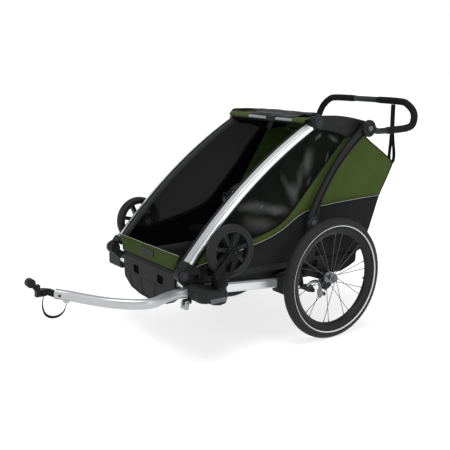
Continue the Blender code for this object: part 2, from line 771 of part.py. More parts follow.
# Rear pillars with their fold buttons

def make_rear_pillars():
    outline = [(-0.101, 0.502), (-0.088, 0.545), (-0.050, 0.611), (-0.006, 0.668), (0.056, 0.738),
               (0.119, 0.798), (0.192, 0.857), (0.219, 0.826), (0.163, 0.788), (0.106, 0.740),
               (0.048, 0.681), (0.000, 0.613), (-0.040, 0.545), (-0.047, 0.490)]
    body = plate("rear_pillar", outline, REAR_PLANE_INNER, REAR_PLANE_OUTER, bevel=0.0035)
    eye = pin("eye", HANDLE_JOINT, REAR_PLANE_INNER + 0.0004, REAR_PLANE_OUTER - 0.0004, 0.0215, 16)
    boss = pin("boss", REAR_JOINT, REAR_PLANE_INNER + 0.0004, REAR_PLANE_OUTER + 0.0017, 0.026, 18)
    body = join(body, eye, boss)
    eye_room = pin("eye_room", HANDLE_JOINT, 0.27, 0.33, PIN_RADIUS + 0.0060)
    bore = pin("bore", REAR_JOINT, 0.27, 0.32, PIN_RADIUS + 0.0006, 12)
    recess = pin("recess", REAR_JOINT, 0.3005, 0.32, 0.0125)
    body = cut(body, eye_room, bore, recess)
    carry(both_sides(body), REAR_FRAME, BLACK_MOULDED)
    button = turned("fold_button", [(0.0, 0.0), (0.012, 0.0), (0.012, 0.0062), (0.0108, 0.0072),
                                    (0.0, 0.0076)], along_x(0.3042, REAR_JOINT), 12, closed=False)
    carry(both_sides(button), REAR_FRAME, GREY_BUTTON)


# Handlebar with its grips, buttons and wrist strap

def handle_half():
    return smooth_path(HANDLE_ROUTE, 1)


def handle_tube(name, radius):
    """A tube of the whole handlebar's route, from hub to hub."""
    half = handle_half()
    other = [Vector((-p.x, p.y, p.z)) for p in reversed(half[:-1])]
    return tube(name, half + other, radius, 2)


def make_handlebar():
    bar = handle_tube("handlebar", HANDLE_TUBE)
    for sign in (1, -1):
        hub = turned("hub", [(0.0, 0.0), (0.035, 0.0), (0.035, 0.0105), (0.033, 0.0125), (0.0, 0.0125)],
                     along_x(HUB_INNER, HANDLE_JOINT), 16, closed=False)
        root = block("root", (HUB_INNER + 0.0008, 0.225, 0.8265), (HUB_OUTER - 0.0028, 0.252, 0.8500))
        bore = pin("bore", HANDLE_JOINT, 0.30, 0.3170, PIN_RADIUS + 0.0006, 12)
        recess = pin("recess", HANDLE_JOINT, 0.3168, 0.33, BUTTON_RADIUS + 0.0005)
        pieces = [hub, root, bore, recess]
        if sign < 0:
            pieces = [flipped(piece) for piece in pieces]
        hub = cut(join(pieces[0], pieces[1]), pieces[2], pieces[3])
        bar = join(bar, hub)
    carry(bar, HANDLE, BLACK_MOULDED)
    button = turned("handlebar_button", [(0.0, 0.0), (BUTTON_RADIUS, 0.0), (BUTTON_RADIUS, 0.0048),
                                         (0.0098, 0.0058), (0.0, 0.0062)],
                    along_x(0.3205, HANDLE_JOINT), 12, closed=False)
    carry(both_sides(button), HANDLE, GREY_BUTTON)


def make_grips():
    half = handle_half()
    first = next(i for i, p in enumerate(half) if p.y > 0.318)
    last = next(i for i, p in enumerate(half) if p.x < 0.089)
    route = half[first:last + 1]
    grip = tube("grip", route, GRIP_RADIUS, 2)
    core = handle_tube("core", HANDLE_TUBE + 0.0008)
    carry(both_sides(cut(grip, core)), HANDLE, FOAM)


def make_wrist_strap():
    strap = ribbon("wrist_strap", smooth_path(WRIST_ROUTE, 1), WRIST_WIDTH, WRIST_THICKNESS, (1, 0, 0))
    carry(strap, HANDLE, BLACK_FABRIC, 60)


# Suspension and brake

BRAKE_RADIUS = 0.0155
BRAKE_HOLES = 8


def make_suspension():
    y, z = SWING_PIVOT
    a, b = AXLE
    outline = [(y - 0.004, z + 0.021), (y + 0.006, z + 0.021), (a + 0.005, b + 0.020),
               (a + 0.016, b - 0.012), (a - 0.004, b - 0.0205), (y - 0.006, z - 0.021),
               (y - 0.021, z - 0.004), (y - 0.019, z + 0.010)]
    arm = plate("swing_arm", corner_rounded(outline, 0.006, 1), 0.2745, 0.2900, bevel=0.0015)
    boss = pin("boss", AXLE, 0.2751, 0.3180, 0.021, 16)
    seat = block("seat", (0.2753, -0.042, 0.270), (0.2894, -0.018, 0.2942))
    stub = pin("stub", AXLE, 0.316, 0.3500, 0.006, 12)
    arm = join(arm, boss, seat, stub)
    bore = pin("bore", SWING_PIVOT, 0.27, 0.295, 0.0076, 12)
    pin_room = pin("pin_room", (AXLE[0] - BRAKE_RADIUS, AXLE[1]), 0.27, 0.33, 0.0031, 8)
    arm = cut(arm, bore, pin_room)
    for thing, side in zip(both_sides(arm), ("left", "right")):
        carry(thing, f"swing_axis_{side}", BLACK_MOULDED)
    spring = turned("suspension_spring", [(0.0, 0.2945), (0.0075, 0.2945), (0.0072, 0.2985), (0.0055, 0.3030),
                                          (0.0072, 0.3080), (0.0055, 0.3130), (0.0072, 0.3175),
                                          (0.0075, 0.3217), (0.0, 0.3217)],
                    Matrix.Translation((0.282, -0.030, 0.0)), 8, closed=False)
    carry(both_sides(spring), TRAILER, RUBBER)
    brake_pin = pin("brake_pin", (AXLE[0] - BRAKE_RADIUS, AXLE[1]), 0.2755, 0.3184, 0.0026, 8)
    for thing, side in zip(both_sides(brake_pin), ("left", "right")):
        carry(thing, f"swing_axis_{side}", STEEL)


def make_brake_pedal():
    y, z, radius = REAR_TUBE
    collar = pin("brake_pedal", (y, z), 0.130, 0.170, radius + 0.0065, 20)
    lever_outline = [(-0.004, 0.246), (0.088, 0.206), (0.122, 0.206), (0.122, 0.213), (0.092, 0.214),
                     (0.022, 0.254)]
    lever = plate("lever", lever_outline, 0.138, 0.162)
    tread = block("tread", (0.118, 0.092, 0.2045), (0.182, 0.128, 0.2135), 0.002)
    pedal = join(collar, lever, tread)
    pedal = cut(pedal, pin("bore", (y, z), 0.10, 0.20, radius + 0.0005, 20))
    carry(pedal, PEDAL, BLACK_MOULDED)


# Rear wheels: tyre, laced wheel with rim, spokes and hub, and the release button

WHEEL_STEPS = 32
SPOKE_PAIRS = 10
SPOKE_RADIUS = 0.0014


def make_rear_tyres():
    half = TYRE_WIDTH / 2
    side = [(0.2100, 0.0098), (0.2120, 0.0160), (0.2290, half), (0.2445, 0.0160)]
    profile = side + [(WHEEL_RADIUS, 0.0)] + [(r, -x) for r, x in reversed(side)]
    tyre = turned("rear_tyre", profile, along_x(HALF_TRACK, AXLE), WHEEL_STEPS)
    for thing, side_name in zip(both_sides(tyre), ("left", "right")):
        carry(thing, f"wheel_axis_{side_name}", RUBBER)


def make_rear_wheels():
    side = [(0.2094, 0.0094), (0.2106, 0.0137), (0.1870, 0.0060)]
    profile = side + [(r, -x) for r, x in reversed(side)]
    wheel = turned("rear_wheel", profile, along_x(HALF_TRACK, AXLE), WHEEL_STEPS)
    inner_flange = 0.3215
    outer_flange = 0.3505
    hub = turned("hub", [(0.0, 0.3190), (0.0215, 0.3190), (0.0215, 0.3240), (0.0110, 0.3290),
                         (0.0110, 0.3450), (0.0195, 0.3490), (0.0195, 0.3535), (0.0150, 0.3560),
                         (0.0140, 0.3620), (0.0, 0.3620)],
                 along_x(0.0, AXLE), 12, closed=False)
    for pair in range(SPOKE_PAIRS):
        middle = tau * pair / SPOKE_PAIRS + radians(20)
        for flange, lean, hub_radius in ((inner_flange, 1, 0.0195), (outer_flange, -1, 0.0178)):
            rim_angle = middle + lean * radians(5)
            hub_angle = middle - lean * radians(32)
            rim_point = (HALF_TRACK - lean * 0.003, AXLE[0] + 0.1892 * cos(rim_angle),
                         AXLE[1] + 0.1892 * sin(rim_angle))
            hub_point = (flange + lean * 0.0005, AXLE[0] + hub_radius * cos(hub_angle),
                         AXLE[1] + hub_radius * sin(hub_angle))
            hub = join(hub, rod("spoke", hub_point, rim_point, SPOKE_RADIUS, 3))
    wheel = join(wheel, hub)
    bore = pin("bore", AXLE, 0.31, 0.3515, 0.0068, 12)
    recess = pin("recess", AXLE, 0.3545, 0.37, BUTTON_RADIUS + 0.0005)
    wheel = cut(wheel, bore, recess)
    for i in range(BRAKE_HOLES):
        angle = pi + tau * i / BRAKE_HOLES
        centre = (AXLE[0] + BRAKE_RADIUS * cos(angle), AXLE[1] + BRAKE_RADIUS * sin(angle))
        wheel = cut(wheel, pin("brake_hole", centre, 0.31, 0.3233, 0.0033, 6))
    for thing, side_name in zip(both_sides(wheel), ("left", "right")):
        carry(thing, f"wheel_axis_{side_name}", BLACK_MOULDED)
    button = turned("wheel_release_button", [(0.0, 0.0), (BUTTON_RADIUS, 0.0), (BUTTON_RADIUS, 0.0045),
                                             (0.0098, 0.0058), (0.0, 0.0062)],
                    along_x(0.3585, AXLE), 12, closed=False)
    for thing, side_name in zip(both_sides(button), ("left", "right")):
        carry(thing, f"wheel_axis_{side_name}", GREY_BUTTON)


# Stowed front wheels: tyre, ribbed wheel and fork

SMALL_X = 0.342
SMALL_SPOKES = 7


def make_front_wheels():
    side = [(0.0783, 0.0140), (0.0850, 0.0195), (0.0960, 0.0160)]
    profile = side + [(SMALL_WHEEL_RADIUS, 0.0)] + [(r, -x) for r, x in reversed(side)]
    tyre = turned("front_tyre", profile, along_x(SMALL_X, SMALL_HUB), 22)
    rim = turned("front_wheel", [(0.0720, 0.0145), (0.0780, 0.0145), (0.0780, -0.0145), (0.0720, -0.0145)],
                 along_x(SMALL_X, SMALL_HUB), 22)
    hub = pin("hub", SMALL_HUB, SMALL_X - 0.0165, SMALL_X + 0.0165, 0.0130, 12)
    y, z = SMALL_HUB
    for i in range(SMALL_SPOKES):
        spoke = block("spoke", (SMALL_X - 0.0125, y + 0.008, z - 0.0058),
                      (SMALL_X + 0.0125, y + 0.0745, z + 0.0058))
        turn = (Matrix.Translation((0, y, z)) @ Matrix.Rotation(tau * i / SMALL_SPOKES + radians(12), 4, "X")
                @ Matrix.Translation((0, -y, -z)))
        spoke.data.transform(turn)
        hub = join(hub, spoke)
    wheel = cut(join(rim, hub), pin("bore", SMALL_HUB, 0.31, 0.38, 0.0044, 12))
    for thing in (tyre, wheel):
        finish = RUBBER if thing is tyre else BLACK_MOULDED
        for piece, side_name in zip(both_sides(thing), ("left", "right")):
            carry(piece, f"small_wheel_axis_{side_name}", finish)


def make_forks():
    y, z = SMALL_HUB
    crown = turned("front_fork", [(0.0, CROWN_BOTTOM), (0.0280, CROWN_BOTTOM), (0.0300, CROWN_BOTTOM + 0.002),
                                  (0.0335, 0.352), (0.0335, 0.368), (0.0, 0.368)],
                   Matrix.Translation((SMALL_X, STEM_Y, 0.0)), 14, closed=False)
    blade = [(-0.5920, 0.350), (-0.5990, 0.372), (-0.5530, 0.418), (y - 0.0185, z + 0.006),
             (y - 0.0080, z + 0.0185), (y + 0.0080, z + 0.0185), (y + 0.0185, z + 0.004),
             (y + 0.0140, z - 0.020), (y - 0.0020, 0.372), (-0.5220, 0.350)]
    window = [(-0.5620, 0.372), (-0.5330, 0.368), (-0.5220, 0.404), (-0.5330, 0.410)]
    room = pin("room", SMALL_HUB, SMALL_X - 0.0225, SMALL_X + 0.0225, SMALL_WHEEL_RADIUS + 0.0045, 20)
    crown = cut(crown, room)
    for low in (SMALL_X - 0.0305, SMALL_X + 0.0245):
        side = plate("blade", blade, low, low + 0.0060, holes=(window,))
        crown = join(crown, side)
    stem = rod("stem", (SMALL_X, STEM_Y, 0.276), (SMALL_X, STEM_Y, CROWN_BOTTOM + 0.004), 0.011, 12)
    bolt = pin("bolt", SMALL_HUB, SMALL_X - 0.0320, SMALL_X + 0.0320, 0.0040, 8)
    caps = [pin("cap", SMALL_HUB, x, x + 0.0020, 0.0075, 10) for x in (SMALL_X - 0.0320, SMALL_X + 0.0300)]
    fork = join(crown, stem, bolt, *caps)
    for piece, side_name in zip(both_sides(fork), ("left", "right")):
        carry(piece, f"swivel_axis_{side_name}", BLACK_MOULDED)


# Hitch arm, coupling, cup, lever and safety strap

def make_hitch():
    arm = tube("hitch_arm", smooth_path(ARM_ROUTE, 1), 0, section=(ARM_HALF_WIDTH, ARM_HALF_HEIGHT))
    bolt = rod("bolt", (0.094, -1.076, 0.288), (0.094, -1.076, 0.334), 0.005, 12)
    ring = block("ring", (0.100, -1.066, 0.2815), (0.120, -1.048, 0.296))
    carry(join(arm, bolt, ring), TRAILER, ALUMINIUM)
    x, y, z = HITCH_PIVOT
    away = (Vector(ARM_ROUTE[-1]) - Vector(ARM_ROUTE[-2])).normalized()
    start = Vector(ARM_ROUTE[-1]) + away * 0.0004
    route = [start, start + away * 0.010, Vector((x + 0.0030, y + 0.0220, z - 0.0030)),
             Vector((x, y + 0.006, z))]
    neck = tube("coupling_boot", smooth_path(route, 1), 0.0138, 2)
    barrel = rod("barrel", (x, y, z - 0.008), (x, y, z + 0.008), 0.012, 20)
    boot = join(neck, barrel)
    bore = rod("bore", (x, y, z - 0.02), (x, y, z + 0.02), 0.0044, 16)
    trim = [block("trim", (x - 0.03, y - 0.020, level), (x + 0.03, y + 0.0135, level + 0.015))
            for level in (z - 0.023, z + 0.008)]
    carry(cut(boot, bore, *trim), TRAILER, RUBBER)
    cheeks = [plate("hitch_cup", circle((x, y), 0.0120, 8, radians(-10), radians(190))
                    + [(x - 0.0100, y - 0.030), (x + 0.0100, y - 0.030)], level, level + 0.0040, plane="XY")
              for level in (z - 0.0124, z + 0.0084)]
    web = block("web", (x - 0.0092, y - 0.0292, z - 0.0116), (x + 0.0092, y - 0.0135, z + 0.0300))
    hinge_pin = rod("hinge_pin", (x, y, z - 0.0105), (x, y, z + 0.0105), 0.0040, 16)
    cx, cy, cz = CUP_CENTRE
    barrel = turned("barrel", [(0.0, 0.0), (0.0150, 0.0), (0.0165, 0.002), (0.0165, 0.026), (0.0150, 0.028),
                               (0.0, 0.028)], along_x(cx - 0.014, (cy, cz)), 14, closed=False)
    stalk = rod("stalk", (x, y - 0.0215, z + 0.010), (cx, cy + 0.006, cz - 0.006), 0.0080, 12)
    cup = join(cheeks[0], cheeks[1], web, hinge_pin, stalk, barrel)
    mouth = pin("mouth", (cy, cz), cx - 0.03, cx + 0.008, 0.0080, 14)
    cup = cut(cup, mouth)
    carry(cup, HITCH, BLACK_MOULDED)
    strap = ribbon("safety_strap", smooth_path(SAFETY_ROUTE, 1), STRAP_WIDTH, STRAP_THICKNESS,
                   (0.85, -0.45, 0))
    carry(strap, TRAILER, BLACK_FABRIC, 60)


def make_lever():
    y, z = -0.664, 0.252
    cheek = circle((y, z), 0.0075, 9, radians(0), radians(180))
    cheek += [(y - 0.0110, z - 0.0200), (y - 0.0060, z - 0.0250), (y + 0.0040, z - 0.0230)]
    sides = [plate("arm_lever", cheek, low, low + 0.0080) for low in (0.2590, 0.2850)]
    web = block("web", (0.2594, y - 0.0095, z - 0.0236), (0.2926, y - 0.0030, z - 0.0120))
    lever = join(sides[0], sides[1], web)
    lever = cut(lever, pin("bore", (y, z), 0.25, 0.30, 0.0034, 12))
    carry(lever, LEVER, PALE_PLASTIC)


# Soft parts: side panels, canopy, rolled cover, trunk, seat and harnesses

PANEL_X = 0.2685
PANEL_THICKNESS = 0.0025


def make_side_panels():
    front = arc_band(119.3, 138.6, PILLAR_BACK - 0.002, PILLAR_RADIUS, 10)[10:]
    top = [(-0.020, 0.842), (0.020, 0.837), (0.080, 0.820), (0.122, 0.801), (0.150, 0.801)]
    rear = [(-0.020, 0.560), (-0.045, 0.500), (-0.010, 0.430), (0.020, 0.345)]
    bottom = [(-0.110, 0.345), (-0.160, 0.310), (-0.480, 0.318), (-0.585, 0.340)]
    outline = front + top + rear + bottom
    panel = plate("side_panel", outline, PANEL_X - PANEL_THICKNESS, PANEL_X)
    carry(both_sides(panel), TRAILER, GREEN_FABRIC)


def strip_shell(name, profile, half_width, thickness, columns=2, crown=0.0):
    """Cloth stretched across the trailer: a (y, z) profile swept from side to side, with Solidify."""
    shape = bmesh.new()
    rows = []
    for y, z in profile:
        row = []
        for i in range(columns):
            x = half_width * (2 * i / (columns - 1) - 1)
            row.append(shape.verts.new((x, y, z + crown * (1 - (x / half_width) ** 2))))
        rows.append(row)
    for first, second in zip(rows, rows[1:]):
        for i in range(columns - 1):
            shape.faces.new((first[i], first[i + 1], second[i + 1], second[i]))
    thing = from_bmesh(name, shape)
    wall = thing.modifiers.new("wall", "SOLIDIFY")
    wall.thickness = thickness
    wall.offset = -1
    return settle(thing)


COVER_MIDDLE = (0.018, 0.8975)


def make_canopy():
    profile = [(-0.036, 0.8850), (0.040, 0.8860), (0.130, 0.8810), (0.200, 0.8710), (0.230, 0.8560),
               (0.2440, 0.8330), (0.2490, 0.8040)]
    canopy = strip_shell("canopy", profile, 0.2400, 0.003, 7, crown=0.003)
    carry(canopy, SHOULDERS, GREEN_FABRIC)
    stations = 11
    y, z = COVER_MIDDLE
    path = [Vector((-0.165 + 0.330 * i / (stations - 1), y, z)) for i in range(stations)]
    roll = tube("cover_roll", path, 0.0060, 3)
    for vertex in roll.data.vertices:
        swell = 1.0 + 0.07 * sin(vertex.co.x * 61.0) + 0.05 * sin(vertex.co.x * 23.0 + 1.0)
        vertex.co.z = z + (vertex.co.z - z) * swell
        vertex.co.y = y + (vertex.co.y - y) * swell * 6.5
    carry(roll, SHOULDERS, BLACK_FABRIC, 60)


def make_trunk():
    outline = [(0.2480, 0.7990), (0.4080, 0.6920), (0.4170, 0.6700), (0.3460, 0.5440), (0.2840, 0.3990),
               (0.2520, 0.3260), (0.2130, 0.2690), (0.1260, 0.2390), (0.0980, 0.2500), (0.0700, 0.3450),
               (0.0250, 0.3600), (-0.0060, 0.4300), (-0.0400, 0.5000), (-0.0150, 0.5580), (0.1540, 0.7990)]
    trunk = plate("trunk", corner_rounded(outline[:9], 0.008, 2) + outline[9:], -0.2560, 0.2560)
    room = [(0.2440, 0.7930), (0.4020, 0.6880), (0.4110, 0.6700), (0.3410, 0.5460), (0.2790, 0.4010),
            (0.2480, 0.3290), (0.2100, 0.2730), (0.1270, 0.2440), (0.1020, 0.2540), (0.0300, 0.2500),
            (-0.0900, 0.3700), (-0.1000, 0.5000), (0.1000, 0.8300), (0.1500, 0.7930)]
    trunk = cut(trunk, plate("room", room, -0.2525, 0.2525))
    carry(trunk, TRAILER, GREEN_FABRIC)


def make_seat():
    """Two hammock seats in one cloth: a base and a back with a dip at each place."""
    profile = [(-0.330, 0.402), (-0.300, 0.410), (-0.230, 0.400), (-0.150, 0.388), (-0.070, 0.380),
               (-0.020, 0.386), (0.004, 0.424), (0.022, 0.487), (0.044, 0.560), (0.070, 0.630),
               (0.080, 0.652)]
    shape = bmesh.new()
    columns = 13
    half = 0.222
    rows = []
    for k, (y, z) in enumerate(profile):
        along = k / (len(profile) - 1)
        dip_size = 0.022 * sin(pi * along)
        row = []
        for i in range(columns):
            x = half * (2 * i / (columns - 1) - 1)
            dip = dip_size * sin(pi * abs(x) / half) ** 2
            lean = min(max((k - 4) / 2, 0.0), 1.0)
            row.append(shape.verts.new((x, y + dip * lean * 0.9, z - dip * (1 - lean))))
        rows.append(row)
    for first, second in zip(rows, rows[1:]):
        for i in range(columns - 1):
            shape.faces.new((first[i], first[i + 1], second[i + 1], second[i]))
    seat = from_bmesh("seat", shape)
    wall = seat.modifiers.new("wall", "SOLIDIFY")
    wall.thickness = 0.014
    wall.offset = -1
    carry(settle(seat), TRAILER, BLACK_FABRIC, 60)


SEAT_CENTRE = 0.113
BUCKLE = (-0.205, 0.534)


def make_harnesses():
    y, z = BUCKLE
    buckle = block("harness", (SEAT_CENTRE - 0.024, y - 0.010, z - 0.024),
                   (SEAT_CENTRE + 0.024, y + 0.008, z + 0.024), 0.004)
    straps = []
    for sign in (1, -1):
        route = [(SEAT_CENTRE + sign * 0.011, y, z + 0.014), (SEAT_CENTRE + sign * 0.024, -0.165, 0.556),
                 (SEAT_CENTRE + sign * 0.034, -0.110, 0.577), (SEAT_CENTRE + sign * 0.038, -0.045, 0.592),
                 (SEAT_CENTRE + sign * 0.040, 0.020, 0.598), (SEAT_CENTRE + sign * 0.040, 0.046, 0.597)]
        straps.append(ribbon("strap", smooth_path(route, 1), 0.022, 0.005, (1, 0, 0)))
    crotch = [(SEAT_CENTRE, y, z - 0.014), (SEAT_CENTRE, y + 0.002, 0.480), (SEAT_CENTRE, y + 0.010, 0.430),
              (SEAT_CENTRE, y + 0.016, 0.388)]
    straps.append(ribbon("strap", smooth_path(crotch, 1), 0.030, 0.006, (1, 0, 0)))
    harness = join(buckle, *straps)
    carry(both_sides(harness), TRAILER, GREY_FABRIC, 60)


make_rails()
make_cross_tubes()
make_receivers()
make_rear_brackets()
make_tub()
make_bumper()
make_apron()
make_pillars()
make_pillar_feet()
make_roof_bar()
make_shoulders()
make_rear_pillars()
make_handlebar()
make_grips()
make_wrist_strap()
make_suspension()
make_brake_pedal()
make_rear_tyres()
make_rear_wheels()
make_front_wheels()
make_forks()
make_hitch()
make_lever()
make_side_panels()
make_canopy()
make_trunk()
make_seat()
make_harnesses()
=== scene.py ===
"""The dressed child bike trailer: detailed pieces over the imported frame, lights and camera.

Points are written about the rear axle, as in the part: y = 0 and z = 0.25 is the axle,
+X is the trailer's left, -Y its front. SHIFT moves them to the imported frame. In a pair,
sign 1 is the left piece and sign -1 the right one, its mirror image.
"""

from math import copysign, cos, exp, pi, radians, sin, sqrt, tau

import bpy
import bmesh
from mathutils import Matrix, Vector, geometry, noise


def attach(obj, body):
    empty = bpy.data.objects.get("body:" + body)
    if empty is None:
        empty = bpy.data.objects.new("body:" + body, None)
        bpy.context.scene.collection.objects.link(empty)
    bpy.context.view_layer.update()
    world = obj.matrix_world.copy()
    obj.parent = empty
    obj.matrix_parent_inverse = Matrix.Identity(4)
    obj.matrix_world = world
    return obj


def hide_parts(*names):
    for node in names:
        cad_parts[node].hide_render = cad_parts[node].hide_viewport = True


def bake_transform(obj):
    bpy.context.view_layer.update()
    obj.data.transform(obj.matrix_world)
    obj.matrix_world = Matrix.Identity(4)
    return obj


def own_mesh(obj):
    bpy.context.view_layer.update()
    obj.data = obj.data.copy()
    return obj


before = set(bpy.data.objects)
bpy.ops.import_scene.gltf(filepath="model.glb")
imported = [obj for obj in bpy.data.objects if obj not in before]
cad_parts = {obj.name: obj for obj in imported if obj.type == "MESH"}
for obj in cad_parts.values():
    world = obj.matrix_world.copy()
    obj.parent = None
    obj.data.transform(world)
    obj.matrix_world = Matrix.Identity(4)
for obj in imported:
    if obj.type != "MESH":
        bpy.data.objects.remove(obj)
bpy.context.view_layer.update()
SHIFT = Vector((0.0, 0.3333, 0.0))
SIDES = {1: "left", -1: "right"}
PAIRED_BODIES = ("wheel", "small_wheel", "fork", "swing_arm")


# Materials

def shader_of(name, slot, colour, rough, metallic=0.0, **sockets):
    """A material and its shader; the slot is not used."""
    mat = bpy.data.materials.new(name)
    mat.use_nodes = True
    shader = mat.node_tree.nodes["Principled BSDF"]
    values = {"Specular_IOR_Level": 0.5 if metallic else 0.14, "Base_Color": (*colour, 1.0),
              "Roughness": rough, "Metallic": metallic, **sockets}
    for key, value in values.items():
        shader.inputs[key.replace("_", " ")].default_value = value
    return mat, shader


def wire(mat, source, target):
    mat.node_tree.links.new(source, target)


def add(mat, kind, *sources, **values):
    """A node: the values set its sockets and settings, the sources feed its inputs in order."""
    node = mat.node_tree.nodes.new(kind)
    for key, value in values.items():
        socket = key.replace("_", " ")
        if socket in node.inputs:
            node.inputs[socket].default_value = value
        else:
            setattr(node, key, value)
    for source, target in zip(sources, node.inputs):
        wire(mat, source, target)
    return node


def coordinates(mat, scale=(1, 1, 1)):
    place = add(mat, "ShaderNodeTexCoord")
    return add(mat, "ShaderNodeMapping", place.outputs["Object"], Scale=scale).outputs["Vector"]


def noise_node(mat, scale, detail, stretch=(1, 1, 1), **more):
    return add(mat, "ShaderNodeTexNoise", coordinates(mat, stretch), Scale=scale, Detail=detail, **more)


def ramp(mat, factor, low, high, ends=(0.0, 1.0)):
    node = add(mat, "ShaderNodeValToRGB", factor)
    for element, place, colour in zip(node.color_ramp.elements, ends, (low, high)):
        element.position = place
        element.color = (*colour, 1)
    return node.outputs["Color"]


def relief(mat, height, strength, distance, target):
    bump = add(mat, "ShaderNodeBump", Strength=strength, Distance=distance)
    wire(mat, height, bump.inputs["Height"])
    wire(mat, bump.outputs["Normal"], target)
    return bump


def uneven(mat, shader, factor, low, high):
    """A roughness that wanders between two levels."""
    level = add(mat, "ShaderNodeMapRange", factor, To_Min=low, To_Max=high)
    wire(mat, level.outputs["Result"], shader.inputs["Roughness"])


def cloth(name, colour, pitch=0.0016, rough=0.85, sheen=0.25, strength=0.45, shade=0.10, stretch=(1, 1, 1),
          slot="black_fabric"):
    """Woven cloth: crossed waves make the weave, noises the uneven colour and the slack of the yarn."""
    mat, shader = shader_of(name, slot, colour, rough, Sheen_Weight=sheen * 0.15, Sheen_Roughness=0.5,
                            Specular_IOR_Level=0.06)
    cloud = noise_node(mat, 14.0, 4.0, stretch).outputs["Fac"]
    dark = [c * (1 - shade) for c in colour]
    light = [min(c * (1 + shade), 1) for c in colour]
    wire(mat, ramp(mat, cloud, dark, light, (0.3, 0.7)), shader.inputs["Base Color"])
    waves = [add(mat, "ShaderNodeTexWave", coordinates(mat, axes), Scale=1.0 / pitch / 6.3, Distortion=1.2,
                 Detail=1.0, bands_direction="DIAGONAL").outputs["Fac"] for axes in ((1, 1, 0), (0, 1, 1))]
    both = add(mat, "ShaderNodeMath", *waves, operation="MULTIPLY")
    weave = relief(mat, both.outputs["Value"], strength, 0.0004, shader.inputs["Normal"])
    folds = noise_node(mat, 9.0, 3.0, Roughness=0.45)
    relief(mat, folds.outputs["Fac"], 0.35, 0.006, weave.inputs["Normal"])
    return mat


def moulded(name, colour, rough=0.45, grain=900.0, strength=0.12, slot="black_moulded_plastic"):
    """Moulded plastic with a fine spark-eroded grain and slightly uneven gloss."""
    mat, shader = shader_of(name, slot, colour, rough)
    relief(mat, noise_node(mat, grain, 2.0).outputs["Fac"], strength, 0.0003, shader.inputs["Normal"])
    uneven(mat, shader, noise_node(mat, 22.0, 3.0).outputs["Fac"], rough - 0.07, rough + 0.07)
    return mat


def metal(name, colour, rough, stretch=(400.0, 12.0, 12.0), metallic=1.0, slot="anodised_aluminium"):
    """Satin metal with faint drawing lines along the profile."""
    mat, shader = shader_of(name, slot, colour, rough, metallic)
    lines = noise_node(mat, 1.0, 3.0, stretch).outputs["Fac"]
    relief(mat, lines, 0.06, 0.0004, shader.inputs["Normal"])
    uneven(mat, shader, lines, rough - 0.06, rough + 0.08)
    return mat


def foam(name, slot, colour):
    mat, shader = shader_of(name, slot, colour, 0.92, Sheen_Weight=0.02, Specular_IOR_Level=0.08)
    cells = add(mat, "ShaderNodeTexVoronoi", coordinates(mat), Scale=1400.0)
    relief(mat, cells.outputs["Distance"], 0.35, 0.0004, shader.inputs["Normal"])
    return mat


def film(name, dark, reflection_colour, rough, wrinkle, reflection_patches=()):
    """Tinted sheet: a slow noise bends its reflections, and painted reflections, a rippled noise and patches
    with rippled edges, lighten its colour towards the reflection colour.

    Each painted reflection patch is (y, z, half length, half width, turn in degrees, level) on the sheet.
    """
    mat, shader = shader_of(name, "black_fabric", dark, rough, Alpha=0.992, Specular_IOR_Level=0.012)
    slow = noise_node(mat, 4.0, 1.5, (1, 1, 0.6), Distortion=0.8)
    relief(mat, slow.outputs["Fac"], wrinkle, 0.03, shader.inputs["Normal"])
    # Painted reflections: a rippled noise and the patches below lighten the film's colour towards the
    # reflection colour.
    ripple = noise_node(mat, 11.0, 2.0)
    shift = add(mat, "ShaderNodeVectorMath", ripple.outputs["Color"], operation="MULTIPLY_ADD")
    shift.inputs[1].default_value = (0.0, 0.06, 0.06)
    shift.inputs[2].default_value = (0.0, -0.03, -0.03)
    warped = add(mat, "ShaderNodeVectorMath", coordinates(mat), shift.outputs["Vector"], operation="ADD")
    level = add(mat, "ShaderNodeMath", ripple.outputs["Fac"], operation="MULTIPLY")
    level.inputs[1].default_value = 0.10
    for y, z, long, short, turn, strength in reflection_patches:
        spot = add(mat, "ShaderNodeMapping", warped.outputs["Vector"], vector_type="TEXTURE",
                   Location=(0.0, y + SHIFT.y, z), Rotation=(radians(turn), 0.0, 0.0),
                   Scale=(1000.0, long, short))
        away = add(mat, "ShaderNodeVectorMath", spot.outputs["Vector"], operation="LENGTH")
        fade = add(mat, "ShaderNodeMapRange", away.outputs["Value"], interpolation_type="SMOOTHSTEP",
                   To_Min=strength, To_Max=0.0)
        level = add(mat, "ShaderNodeMath", level.outputs["Value"], fade.outputs["Result"], operation="ADD")
    wire(mat, ramp(mat, level.outputs["Value"], dark, reflection_colour), shader.inputs["Base Color"])
    return mat


EVEN = (30.0, 30.0, 30.0)
FINE = (60.0, 60.0, 60.0)
GREEN = cloth("green_cloth", (0.046, 0.071, 0.0165), rough=0.75, sheen=0.12, slot="green_fabric")
# A darker copy of the green cloth for the apron: painted shade on the front face, which the lamps light more.
APRON_GREEN_SHADED = cloth("apron_cloth_painted_shade", (0.031, 0.0495, 0.0100), rough=0.75, sheen=0.12, slot="green_fabric")
# The green lining, lighter than the outer green cloth: painted light that offsets the shade inside the trunk.
GREEN_INSIDE_LIT = cloth("green_lining_painted_light", (0.060, 0.098, 0.026), sheen=0.0, slot="green_fabric")
